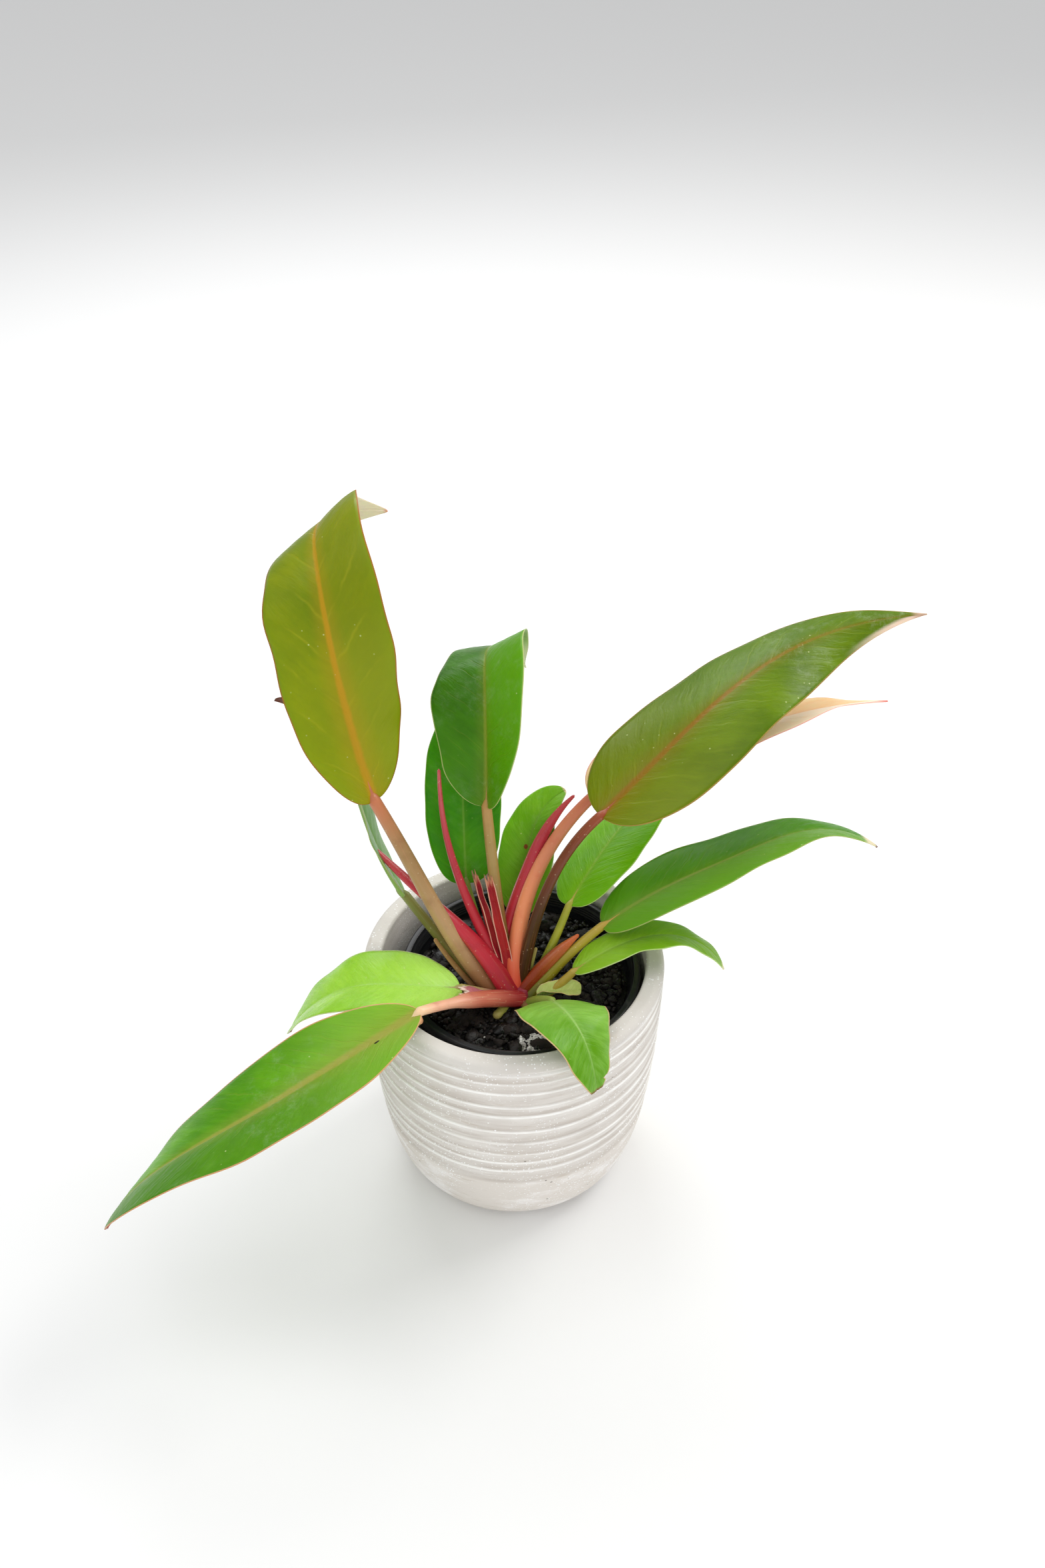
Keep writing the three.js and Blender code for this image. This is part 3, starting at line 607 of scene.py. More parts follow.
# Each kind's name, material, inner and outer circle with their centre, and then its grain size
# in millimetres, size spread, number to a square metre, flatness, roughness, facets and seed.
BED_CENTRE = (NURSERY_SHIFT, 0)
CLUMP_PLACE = (8, -38)
chip_kinds = [
    ("soil_crumbs", bark, (1.0, soil_edge - 1.5, BED_CENTRE), 1.1, (0.5, 260000.0, 0.7, 1.1, 1, 3)),
    ("soil_bark", bark, (9.5, soil_edge - 4, BED_CENTRE), 2.7, (0.5, 50000.0, 0.55, 1.5, 2, 8)),
    ("soil_white_grains", grain, (10.0, soil_edge - 3, BED_CENTRE), 0.55, (0.4, 3600.0, 0.8, 0.9, 1, 21)),
    ("white_clump", grain, (0.2, 6.5, CLUMP_PLACE), 0.6, (0.7, 2000000.0, 0.8, 1.4, 1, 40)),
]
for name, paint, circles, size, others in chip_kinds:
    settings = dict(zip([label for label, _ in scatter_inputs[1:-1]], others))
    settings.update({"Grain Size": size * MM, "Material": paint.material})
    patch = soil_patch(name + "_patch", *circles)
    show(name, grown(name, patch, scatter_tree, settings), None, "potting_soil")

# ---- Crown -----------------------------------------------------------------------------------
# The short fleshy stem that every leaf grows from, sunk in the soil, ringed by the scars of old
# leaves and flushed red where the sheaths join it.

CROWN_RADIUS = 8
CROWN_DEPTH = 16
CROWN_TURNS = 48
CROWN_SHARES = [(0.45, -CROWN_DEPTH), (0.7, -10), (0.86, -5), (0.9, -2), (0.84, -0.4), (0.74, 0.6)]
CROWN_SHARES += [(0.7, 1.4), (0.56, 2.2), (0.5, 3.0), (0.3, 3.6), (0.1, 3.9)]
crown_profile = [(0.6, -CROWN_DEPTH)]
crown_profile += [(CROWN_RADIUS * share, z) for share, z in CROWN_SHARES]
crown_r, crown_z = smooth_rings(crown_profile, CROWN_TURNS)
crown_angle = np.linspace(0, 2 * np.pi, CROWN_TURNS, endpoint=False)
leaf_scars = np.sin(3 * crown_angle + crown_z * 0.5)
crown_r = crown_r * (1 + 0.05 * leaf_scars - 0.04 * np.cos(5 * crown_angle + 1.0))
crown_mesh = revolved("crown", (crown_r, crown_z + soil_top), CROWN_TURNS, CROWN_PLACE)
flesh = Shader("crown_flesh")
flesh_cloud = flesh.noise(flesh.places((1, 1, 2)), 220, 4)
flesh.tint = flesh.mix(flesh.span(flesh_cloud, 0.35, 0.65), "#6a1220", "#96283a")
flesh_height = flesh.node("ShaderNodeSeparateXYZ", {"Vector": flesh.places()}).outputs["Z"]
flesh.wash(flesh.span(flesh_height, 0.099, 0.103, 1, 0), "#2c1610")
flesh.dress({"Roughness": 0.42, "Normal": flesh.bump(flesh_cloud, 0.4, 0.0005)})
show("crown_body", crown_mesh, flesh.material, "crown_flesh", "crown")

# ---- Leaf blades -----------------------------------------------------------------------------
# Each leaf is one thick waxy blade, folded a little at its midrib and cupped at its margins. It
# follows a line whose heading and rise change smoothly from the petiole to the drawn-out tip.

GAP = 0.3
PATH_STEPS = 240
BLADE_STUB = 0.9
BLADE_THICKNESS = 0.55
MARGIN_THINNING = 0.55
RIB_TIP = 0.25
VEIN_RELIEF = 0.05
FARTHEST = 30
ROWS = 84
HALF_COLUMNS = 15
RIM_INSIDE = RIM_RADIUS - PLANTER_WALL


def along(values, s):
    """Evenly spaced values joined by a smooth curve, read at s from 0 to 1."""
    values = np.asarray(values, float)
    s = np.asarray(s, float)
    last = len(values) - 1
    if last == 0:
        return np.full(s.shape, values[0])
    x = np.clip(s, 0, 1) * last
    i = np.minimum(x.astype(int), last - 1)
    u = x - i
    b, c = values[i], values[i + 1]
    a = np.where(i > 0, values[np.maximum(i - 1, 0)], 2 * b - c)
    d = np.where(i < last - 1, values[np.minimum(i + 2, last)], 2 * c - b)
    bend, twist = 2 * a - 5 * b + 4 * c - d, 3 * b - a - 3 * c + d
    return 0.5 * (2 * b + (c - a) * u + bend * u * u + twist * u**3)


def directions(growth, s):
    """Forward, upper and right directions of a growing line at s."""
    heading = np.radians(along(growth["heading"], s))
    rise = np.radians(along(growth["rise"], s))
    roll = np.radians(along(growth.get("roll", [0]), s))[..., None]
    level, up = np.cos(rise), np.sin(rise)
    forward = np.stack([level * np.cos(heading), level * np.sin(heading), up], -1)
    upper = np.stack([-up * np.cos(heading), -up * np.sin(heading), level], -1)
    right = np.cross(forward, upper)
    turned_upper = upper * np.cos(roll) + right * np.sin(roll)
    turned_right = right * np.cos(roll) - upper * np.sin(roll)
    return forward, turned_upper, turned_right


def line_of(growth):
    """The points of a growing line, evenly spaced along it."""
    middles = (np.arange(PATH_STEPS) + 0.5) / PATH_STEPS
    forward = directions(growth, middles)[0]
    steps = np.cumsum(forward * growth["length"] / PATH_STEPS, 0)
    return np.vstack([growth["start"], growth["start"] + steps])


def places_on(line, s):
    grid = np.linspace(0, 1, PATH_STEPS + 1)
    return np.stack([np.interp(s, grid, line[:, k]) for k in range(3)], -1)


def blade_mesh(name, blade, rib_root, seed):
    """One closed blade: an upper and a lower skin joined round the margin, with the midrib
    standing out below. 'along' and 'across' tell the material where it is on the leaf."""
    rng = np.random.default_rng(seed)
    end = blade.get("cut", 1.0)
    s = (1 - np.cos(np.pi * np.arange(ROWS + 1) / ROWS)) / 2 * end
    u = np.linspace(-1, 1, 2 * HALF_COLUMNS + 1)
    t = np.sign(u) * np.abs(u) ** 1.3
    side, reach = np.sign(t)[None, :], np.abs(t)[None, :]
    line = places_on(line_of(blade), s)
    forward, upper, right = directions(blade, s)
    run = s[:, None]
    shoulder = blade["shoulder"]
    shape = (s / shoulder) ** shoulder * ((1 - s) / (1 - shoulder)) ** (1 - shoulder)
    half = blade["width"] / 2 * shape ** blade["taper"] + BLADE_STUB * (1 - 0.75 * s)
    drawn_from, drawn_share = blade.get("drawn", (0.8, 0.0))
    half = half * (1 - drawn_share * np.clip((s - drawn_from) / (1 - drawn_from), 0, 1) ** 0.8)
    phases = rng.uniform(0, 2 * np.pi, 6)
    scallop = blade.get("scallop", 0.01)

    def ripple(rate, phase, shift=0):
        return np.sin(2 * np.pi * rate * run + phase + shift)

    bulge = ripple(2.6, phases[4], side) + 0.5 * ripple(6.1, phases[5], 2 * side)
    inner_share = np.clip(run * 5, 0, 1) * np.clip((1 - run) * 5, 0, 1)
    half = half[:, None] * (1 + scallop * bulge * inner_share)
    notch = blade.get("notch")
    if notch:
        depth = np.exp(-(((run - notch[0]) / notch[1]) ** 2)) * (side == notch[2])
        half = half * (1 - notch[3] * depth)
    fold = np.radians(along(blade["fold"], s))[:, None]
    cup = np.radians(along(blade["cup"], s))[:, None]
    middle = fold + cup * reach / 2
    edge_angle = (fold + cup * reach) * side
    outward = half * reach * np.cos(middle) * side
    lifted = half * reach * np.sin(middle)
    counts = rng.uniform(1.6, 3.4, 2)
    ease = np.clip(run * 6, 0, 1) * np.clip((1 - run) * 6, 0, 1)
    waves = np.where(
        side < 0,
        ripple(counts[0], phases[0]) + 0.4 * ripple(5.3, phases[1]),
        ripple(counts[1], phases[2]) + 0.4 * ripple(4.6, phases[3]),
    )
    lifted = lifted + blade.get("wave", 0.8) * waves * reach**2.5 * ease
    veins = np.sin(2 * np.pi * (run * 17 - reach * 2.2 + 0.25 * side))
    lifted = lifted + VEIN_RELIEF * veins * np.clip(reach * 4, 0, 1) * np.clip((1 - reach) * 5, 0, 1)
    skin = upper[:, None] * np.cos(edge_angle)[..., None] - right[:, None] * np.sin(edge_angle)[..., None]
    sheet = line[:, None] + right[:, None] * outward[..., None] + upper[:, None] * lifted[..., None]
    jags = blade.get("jagged", 0) * (np.sin(7 * t + phases[0]) + 0.7 * np.sin(19 * t + phases[1]))
    sheet = sheet + forward[:, None] * (jags[None, :] * (run / end) ** 9)[..., None]
    thickness = BLADE_THICKNESS * (1 - MARGIN_THINNING * reach**3) * np.ones_like(half)
    rib_size = (RIB_TIP + (rib_root - RIB_TIP) * (1 - s) ** 1.6)[:, None]
    rib_share = np.clip(1 - (half * reach / np.maximum(rib_size * 1.25, 1e-6)) ** 2, 0, 1)
    below = thickness / 2 + rib_size * 0.85 * np.sqrt(rib_share)
    above = thickness / 2 - 0.2 * np.sqrt(rib_share) * np.clip(half / 6, 0, 1)
    top = sheet + skin * above[..., None]
    bottom = sheet - skin * below[..., None]
    columns = len(t)
    size = (ROWS + 1) * columns
    index = np.arange(size).reshape(ROWS + 1, columns)
    a, b, c, d = index[:-1, :-1], index[:-1, 1:], index[1:, 1:], index[1:, :-1]
    faces = [np.stack([a, b, c, d], -1).reshape(-1, 4)]
    faces.append(np.stack([a, d, c, b], -1).reshape(-1, 4) + size)
    left, far = index[:, 0], index[:, -1]
    faces.append(np.stack([left[:-1], left[1:], left[1:] + size, left[:-1] + size], -1))
    faces.append(np.stack([far[:-1] + size, far[1:] + size, far[1:], far[:-1]], -1))
    root, tip = index[0], index[-1]
    faces.append(np.stack([root[:-1] + size, root[1:] + size, root[1:], root[:-1]], -1))
    faces.append(np.stack([tip[:-1], tip[1:], tip[1:] + size, tip[:-1] + size], -1))
    points = np.vstack([top.reshape(-1, 3), bottom.reshape(-1, 3)]) * MM
    mesh = bpy.data.meshes.new(name)
    mesh.from_pydata(points.tolist(), [], np.vstack(faces).tolist())
    grid_s = np.repeat(run, columns, 1).reshape(-1)
    grid_t = np.repeat(t[None, :], ROWS + 1, 0).reshape(-1)
    rib_width = blade["rib"] * (0.12 + 0.88 * (1 - run) ** 0.9)
    from_rib = np.minimum(half * reach / rib_width, FARTHEST)
    from_edge = np.minimum(half * (1 - reach), FARTHEST)
    for label, values in (
        ("along", np.tile(grid_s, 2)),
        ("across", np.tile(grid_t, 2)),
        ("from_rib", np.tile(from_rib.reshape(-1), 2)),
        ("from_edge", np.tile(from_edge.reshape(-1), 2)),
        ("under", np.repeat([0.0, 1.0], size)),
    ):
        mark_points(mesh, label, values)
    return mesh


# The pattern of a blade, shared by every leaf: where its midrib, the glow beside it, its side
# veins and its margin lie, and the streaks that run the way of the side veins.
pattern = bpy.data.node_groups.new("leaf_pattern", "ShaderNodeTree")
for label, default in (("Vein Count", 15.0), ("Vein Slant", 0.16), ("Margin Width", 0.5)):
    socket = pattern.interface.new_socket(label, in_out="INPUT", socket_type="NodeSocketFloat")
    socket.default_value = default
for label in ("Midrib", "Glow", "Veins", "Streaks", "Margin"):
    pattern.interface.new_socket(label, in_out="OUTPUT", socket_type="NodeSocketFloat")
drawn = Shader("leaf_pattern", pattern)
pattern_in = drawn.node("NodeGroupInput")
pattern_along, pattern_across = drawn.value("along"), drawn.value("across")
pattern_reach = drawn.math("ABSOLUTE", pattern_across)
waver = drawn.noise(drawn.places(), 60, 3)
fine_waver = drawn.noise(drawn.places(), 260, 2)
near_rib = drawn.math("MULTIPLY_ADD", drawn.math("SUBTRACT", fine_waver, 0.5), 0.5, drawn.value("from_rib"))
slanted = drawn.times(pattern_reach, pattern_in.outputs["Vein Slant"])
slanted = drawn.math("SUBTRACT", pattern_along, slanted)
slanted = drawn.math("MULTIPLY_ADD", waver, 0.05, slanted)
vein_phase = drawn.math("FRACT", drawn.times(slanted, pattern_in.outputs["Vein Count"]))
vein_near = drawn.math("ABSOLUTE", drawn.math("SUBTRACT", vein_phase, 0.5))
vein_line = drawn.span(vein_near, 0.0, 0.07, 1, 0)
vein_line = drawn.times(vein_line, drawn.span(pattern_reach, 0.55, 0.95, 1, 0))
vein_line = drawn.times(vein_line, drawn.span(drawn.noise(drawn.places(), 45, 2), 0.42, 0.6))
streak_place = drawn.node(
    "ShaderNodeCombineXYZ",
    {
        "X": drawn.times(slanted, 26.0),
        "Y": drawn.times(pattern_across, 1.6),
        "Z": drawn.times(drawn.math("SIGN", pattern_across), 3.0),
    },
).outputs[0]
edge_ratio = drawn.math("DIVIDE", drawn.value("from_edge"), pattern_in.outputs["Margin Width"])
drawn.node(
    "NodeGroupOutput",
    {
        "Midrib": drawn.span(near_rib, 0.35, 1.25, 1, 0),
        "Glow": drawn.span(near_rib, 0.6, 5.5, 1, 0),
        "Veins": vein_line,
        "Streaks": drawn.span(drawn.noise(streak_place, 1.0, 4, 0.55), 0.35, 0.68),
        "Margin": drawn.span(edge_ratio, 0.5, 1.3, 1, 0),
    },
)


def leaf_skin(name, looks):
    """The waxy skin of one blade in its own colours."""
    leaf = Shader(name)
    drawing = {
        "Vein Count": looks.get("veins", 15.0),
        "Vein Slant": 0.16,
        "Margin Width": looks.get("margin_width", 0.5),
    }
    spread = leaf.node("ShaderNodeGroup", node_tree=pattern)
    shown = leaf.fill(spread, drawing).outputs
    place = leaf.places()
    leaf_along, under = leaf.value("along"), leaf.value("under")
    broad = leaf.span(leaf.noise(place, 28, 3), 0.36, 0.66)
    fine = leaf.noise(place, 420, 4, 0.65)
    tone = leaf.math("MULTIPLY_ADD", shown["Streaks"], 0.34, leaf.times(broad, 0.58))
    leaf.tint = leaf.mix(tone, looks["deep"], looks["bright"])
    # Painted light and shade: one half of the blade, on one side of the midrib, is washed lighter or darker,
    # as the fold turns that half towards or away from the light.
    if "half" in looks:
        sign, half_colour, half_share = looks["half"]
        on_half = leaf.span(leaf.value("across"), -0.06 * sign, 0.06 * sign)
        leaf.wash(leaf.times(on_half, half_share), half_colour)
    root_share = leaf.times(leaf.span(leaf_along, 0, 0.5, 1, 0), looks.get("root_share", 0.4))
    leaf.wash(root_share, looks.get("root", looks["bright"]))
    leaf.wash(leaf.times(leaf.span(fine, 0.5, 0.72), 0.12), looks["bright"])
    vein_share = leaf.times(shown["Veins"], looks.get("vein_share", 0.14))
    leaf.wash(vein_share, looks.get("vein", looks["rib"]))
    rib_fade = leaf.span(leaf_along, 0.3, 0.95, looks.get("rib_share", 0.85), looks.get("rib_end", 0.3))
    glow_share = leaf.times(shown["Glow"], leaf.times(rib_fade, 0.3))
    leaf.wash(glow_share, looks["rib"])
    leaf.wash(leaf.times(shown["Midrib"], rib_fade), looks["rib"])
    # Whitish patches: partly the leaf's own chalky residue, partly a painted sheen where the blade turns to
    # the light. They also roughen the skin.
    chalk_and_sheen_amount, chalk_and_sheen_from = looks.get("chalk_and_sheen", (0.08, 0.0))
    chalk_and_sheen_cloud = leaf.span(leaf.noise(place, 190, 8, 0.8), 0.45, 0.78)
    chalk_and_sheen_zone = leaf.span(leaf.noise(place, 30, 3), 0.38, 0.68)
    chalk_and_sheen_reach = leaf.span(leaf_along, chalk_and_sheen_from, chalk_and_sheen_from + 0.3) if chalk_and_sheen_from else 1.0
    chalk_and_sheen = leaf.times(leaf.times(chalk_and_sheen_cloud, chalk_and_sheen_zone), chalk_and_sheen_reach)
    leaf.wash(leaf.times(chalk_and_sheen, chalk_and_sheen_amount), "#dfe6cf")
    speck_cells = leaf.cells(place, 230)
    speck_zone = leaf.span(leaf.noise(place, 33, 2), 0.52, 0.62)
    specks = leaf.times(leaf.span(speck_cells, 0.04, 0.11, 1, 0), speck_zone)
    leaf.wash(leaf.times(specks, 0.55), "#d4dc9a")
    leaf.wash(leaf.times(under, 0.55), looks.get("under", "#8fa84e"))
    leaf.wash(leaf.times(shown["Margin"], 0.85), looks["margin"])
    if "flare" in looks:
        sign, flare_colour, flare_from = looks["flare"]
        flare = leaf.span(leaf.value("from_edge"), 1.2, 3.2, 1, 0)
        flare = leaf.times(flare, leaf.span(leaf_along, flare_from, flare_from + 0.2))
        flare = leaf.times(flare, leaf.span(leaf.value("across"), 0.1 * sign, 0.3 * sign))
        leaf.wash(flare, flare_colour)
    if "tip_under" in looks:
        under_tip = leaf.times(leaf.span(leaf_along, 0.72, 0.86), leaf.times(under, 0.95))
        leaf.wash(under_tip, looks["tip_under"])
    for colour, tip_start, tip_end in looks.get("tips", ()):
        leaf.wash(leaf.span(leaf_along, tip_start, tip_end), colour)
    if "spot" in looks:
        spot_along, spot_across, spot_size, spot_colour = looks["spot"]
        off_along = leaf.times(leaf.math("SUBTRACT", leaf_along, spot_along), 4.0)
        off_across = leaf.math("SUBTRACT", leaf.value("across"), spot_across)
        off = leaf.math("ADD", leaf.math("POWER", off_along, 2.0), leaf.math("POWER", off_across, 2.0))
        off = leaf.math("MULTIPLY_ADD", leaf.math("SUBTRACT", fine, 0.5), spot_size * spot_size, off)
        near_spot = leaf.span(off, spot_size**2 * 0.5, spot_size**2, 1, 0)
        leaf.wash(near_spot, spot_colour)
    gloss = looks.get("gloss", 0.3)
    rough = leaf.math("MULTIPLY_ADD", chalk_and_sheen, 0.25, leaf.span(fine, 0.3, 0.7, gloss, gloss + 0.12))
    height = leaf.math("MULTIPLY_ADD", shown["Veins"], -0.5, leaf.times(fine, 0.4))
    height = leaf.math("MULTIPLY_ADD", shown["Streaks"], 0.9, height)
    wax = {
        "Roughness": rough,
        "Specular IOR Level": 0.22,
        "Subsurface Weight": looks.get("glow", 0.2),
        "Subsurface Radius": looks.get("glow_spread", (0.5, 1.0, 0.1)),
        "Subsurface Scale": 0.0012,
        "Normal": leaf.bump(height, 0.35, 0.0004),
    }
    return leaf.dress(wax)


# Each leaf's root is measured from the pot's axis and the soil's surface. Headings go round the
# pot, rises from level and rolls about the leaf's own line, in degrees, evenly spaced along it.
leaves = {
    "tall_left": {
        "root": (-9, -11, 2),
        "petiole": {"length": 101, "heading": [152, 152], "rise": [46, 61, 59], "radius": (4, 2.7)},
        "blade": {
            "length": 168, "width": 49, "shoulder": 0.48, "taper": 1,
            "heading": [148, 134, 109, 84, 7], "rise": [71, 74, 62, -7, -11],
            "roll": [-18, -37, -34, -80], "fold": [11, 6], "cup": [-11, -15], "rib": 2.3,
            "scallop": 0.025, "wave": 0.9, "drawn": (0.8, 0.75),
        },
        "looks": {
            "deep": "#6b8002", "bright": "#879302", "root": "#8f9a02", "root_share": 0.75,
            "rib": "#b98e14", "rib_share": 0.95, "rib_end": 0.7, "half": (1, "#838a02", 0.5),
            "margin": "#a8622c", "margin_width": 0.55, "tip_under": "#f4e6cf",
            "tips": (("#e0a48c", 0.985, 1.0),),
            "vein": "#b5ae22", "vein_share": 0.22, "under": "#a09a3a", "chalk_and_sheen": (0.0, 0.0), "veins": 9.0,
        },
        "stalk": ("#84522c", "#b89468", "#a88454", "#cc7450"),
    },
    "tall_centre": {
        "root": (-1, -3, 0),
        "petiole": {"length": 83, "heading": [116, 109], "rise": [62, 73, 76], "radius": (2.9, 2.2)},
        "blade": {
            "length": 113, "width": 43, "shoulder": 0.41, "taper": 1.25,
            "heading": [86, 92, 81, 14], "rise": [77, 68, -16, -59],
            "roll": [-29, -30, -12], "fold": [34, -1], "cup": [8, -20], "rib": 1.5,
            "scallop": 0.02, "wave": 0.7,
        },
        "looks": {
            "deep": "#346a02", "bright": "#468302", "half": (1, "#5e9e02", 0.8), "rib": "#7f8c24",
            "rib_share": 0.75, "rib_end": 0.55, "margin": "#b9bf7e", "margin_width": 0.4,
            "tip_under": "#e6e8c4", "tips": (("#dfe0b4", 0.95, 0.97),), "chalk_and_sheen": (0.16, 0.0),
        },
        "stalk": ("#94683c", "#8c6c34", "#a4884c", "#b4884c"),
    },
    "behind_centre": {
        "root": (-4, 0, 0),
        "petiole": {"length": 45, "heading": [139, 116], "rise": [46, 59], "radius": (2.2, 1.8)},
        "blade": {
            "length": 85, "width": 32, "shoulder": 0.46, "taper": 0.87,
            "heading": [96, 90, 68], "rise": [70, 61, 38],
            "roll": [0, 3], "fold": [13, 15], "cup": [-10, -8], "rib": 0.8, "wave": 0.6,
        },
        "looks": {
            "deep": "#297c02", "bright": "#4a9702", "rib": "#79a83a", "rib_share": 0.5, "margin": "#8cab4c",
            "margin_width": 0.35, "spot": (0.45, 0.42, 0.1, "#a8843c"),
        },
        "stalk": ("#6f8a34", "#76902e", "#7d9438", "#6f8a34"),
    },
    "small_back": {
        "root": (0, 8, -3),
        "petiole": {"length": 24, "heading": [86, 82], "rise": [49, 59], "radius": (2, 1.5)},
        "blade": {
            "length": 62, "width": 24, "shoulder": 0.47, "taper": 1,
            "heading": [68, 69, 20], "rise": [62, 58, 18],
            "roll": [0, 2], "fold": [12, 18], "cup": [-10, -6], "rib": 0.7, "wave": 0.5,
        },
        "looks": {
            "deep": "#66a60c", "bright": "#80b828", "rib": "#8cb04c", "rib_share": 0.5, "margin": "#a5c070",
            "margin_width": 0.35, "tips": (("#dccb9c", 0.98, 0.995),), "spot": (0.5, -0.1, 0.085, "#8a4a1c"),
        },
        "stalk": ("#6f8a34", "#76902e", "#7d9438", "#6f8a34"),
    },
    "long_right": {
        "root": (3, -6, 2),
        "petiole": {"length": 86, "heading": [62, 19], "rise": [73, 63, 39], "radius": (3.0, 2.5, 2.2, 2.1)},
        "blade": {
            "length": 173, "width": 58, "shoulder": 0.29, "taper": 1.67,
            "heading": [34, 32, 29, -2], "rise": [31, 31, 8, 5],
            "roll": [4, -2, 45], "fold": [9, -14], "cup": [-11, -31], "rib": 2.2, "wave": 0.5,
            "scallop": 0.004,
        },
        "looks": {
            "deep": "#4f6b02", "bright": "#6a8604", "root": "#767e00", "root_share": 0.7, "rib": "#8c6410",
            "rib_share": 0.9, "rib_end": 0.25, "margin": "#b08a4c", "margin_width": 0.55, "vein": "#8c9a20",
            "vein_share": 0.22, "flare": (1, "#efd2bf", 0.74), "tips": (("#c9a48c", 0.955, 0.985),),
            "chalk_and_sheen": (0.5, 0.45), "half": (-1, "#4f7206", 0.35), "under": "#a8a05a", "veins": 11.0,
        },
        "stalk": ("#3c2408", "#4c2c10", "#74381c", "#a04c2c"),
    },
    "new_right": {
        "root": (0, -7, 3),
        "petiole": {"length": 90, "heading": [90, 23], "rise": [61, 47, 38], "radius": (3.7, 3.4, 2.9, 2.4)},
        "blade": {
            "length": 136, "width": 45, "shoulder": 0.36, "taper": 1.2,
            "heading": [29, 8, 7], "rise": [13, 19, -2],
            "roll": [16, -35], "fold": [14, 10], "cup": [-14, -11], "rib": 1.2, "wave": 0.7,
        },
        "looks": {
            "deep": "#ffca94", "bright": "#ffdeb4", "rib": "#eeb090", "rib_share": 0.4, "margin": "#f4a8a0",
            "under": "#ffd8c8", "half": (1, "#ffe4d0", 0.85), "margin_width": 0.6, "glow": 0.55,
            "glow_spread": (1.0, 0.6, 0.45), "tips": (("#e88a80", 0.95, 1.0),), "chalk_and_sheen": (0.0, 0.0),
            "vein": "#f0b490",
        },
        "slot": "new_leaf",
        "stalk": ("#d84c34", "#ee9464", "#e08c66", "#d87458"),
    },
    "under_right": {
        "root": (8, -6, 1),
        "petiole": {"length": 38, "heading": [49, 57], "rise": [45, 48], "radius": (2.2, 1.6)},
        "blade": {
            "length": 101, "width": 33, "shoulder": 0.38, "taper": 1.15,
            "heading": [59, 49, 11], "rise": [25, 13, -5],
            "roll": [-12, -26], "fold": [4, -2], "cup": [-16, -22], "rib": 1.0, "wave": 0.6,
        },
        "looks": {
            "deep": "#5ca302", "bright": "#77ba02", "rib": "#8fb83c", "rib_share": 0.5, "margin": "#b5cd78",
            "margin_width": 0.4,
        },
        "stalk": ("#7c8e1c", "#98a428", "#b0b434", "#b8ac48"),
    },
    "mid_right": {
        "root": (7, -11, -1),
        "petiole": {"length": 44, "heading": [32, 23], "rise": [44, 31], "radius": (3, 2.3, 1.9)},
        "blade": {
            "length": 130, "width": 36, "shoulder": 0.4, "taper": 1.16,
            "heading": [12, 14, 13, -14], "rise": [39, 20, 13, -34],
            "roll": [5, -13, -26], "fold": [13, 7], "cup": [-9, -14], "rib": 1.3, "wave": 0.45,
        },
        "looks": {
            "deep": "#3c7c04", "bright": "#4c8e06", "root": "#62a014", "half": (1, "#68a020", 0.8),
            "rib": "#8a9a40", "rib_share": 0.6, "margin": "#a5ae66", "margin_width": 0.45,
            "flare": (-1, "#d8cfa8", 0.84),
            "tips": (("#d8cba4", 0.93, 0.96), ("#6a3a22", 0.985, 0.995)), "chalk_and_sheen": (0.25, 0.5),
        },
        "stalk": ("#54580a", "#8c8418", "#b09c30", "#c8a04c"),
    },
    "low_right": {
        "root": (10, -14, 0),
        "petiole": {"length": 21, "heading": [6, 18], "rise": [37, 46], "radius": (2.2, 1.7)},
        "blade": {
            "length": 77, "width": 20, "shoulder": 0.42, "taper": 1.2,
            "heading": [21, 9, -20], "rise": [35, 0, -65],
            "roll": [-5, -16], "fold": [8, 8], "cup": [-13, -13], "rib": 0.8, "wave": 0.6,
        },
        "looks": {
            "deep": "#71a702", "bright": "#8ebc2c", "rib": "#9cc250", "rib_share": 0.55, "margin": "#bfd48c",
            "margin_width": 0.4, "tips": (("#dcd8ac", 0.95, 0.98),),
        },
        "stalk": ("#8c8420", "#a89434", "#b49c3c", "#b09848"),
    },
    "front_drooping": {
        "root": (7.5, -17, 2),
        "petiole": {"length": RIM_INSIDE - 36, "heading": [-57], "rise": [50, 35], "radius": (2.2, 1.8)},
        "blade": {
            "length": 60, "width": 36, "shoulder": 0.27, "taper": 1.06,
            "heading": [-78, -62, -72], "rise": [43, 16, -44, -78],
            "roll": [-4, -31], "fold": [5, 10], "cup": [-25, -13], "rib": 1.0, "wave": 0.8,
            "cut": 0.95, "notch": (0.885, 0.012, -1, 0.3),
        },
        "looks": {
            "deep": "#589202", "bright": "#88bb4b", "root": "#7eac38", "rib": "#a8cc78", "rib_share": 0.45,
            "margin": "#e0b68c", "margin_width": 0.5, "tips": (("#7a4a26", 0.925, 0.95),),
        },
        "stalk": ("#7a9a30", "#86a23c", "#8aa646", "#8aa040"),
    },
    "curled": {
        "root": (10, -16, 4),
        "petiole": None,
        "blade": {
            "length": 19, "width": 9, "shoulder": 0.55, "taper": 0.6,
            "heading": [8, -4], "rise": [22, 0],
            "roll": [-20, 25], "fold": [42, 20], "cup": [30, 10], "rib": 0.4, "wave": 0.3,
        },
        "looks": {
            "deep": "#a4b44c", "bright": "#c8d484", "rib": "#d0d890", "rib_share": 0.5, "margin": "#c9b27a",
            "margin_width": 0.3, "spot": (0.45, -0.4, 0.22, "#3a2a12"),
        },
    },
    "low_left": {
        "root": (-2, -13, 0),
        "petiole": {"length": RIM_INSIDE - 33, "heading": [199, 190], "rise": [32, 26], "radius": (2.5, 2)},
        "blade": {
            "length": 90, "width": 37, "shoulder": 0.43, "taper": 1.08,
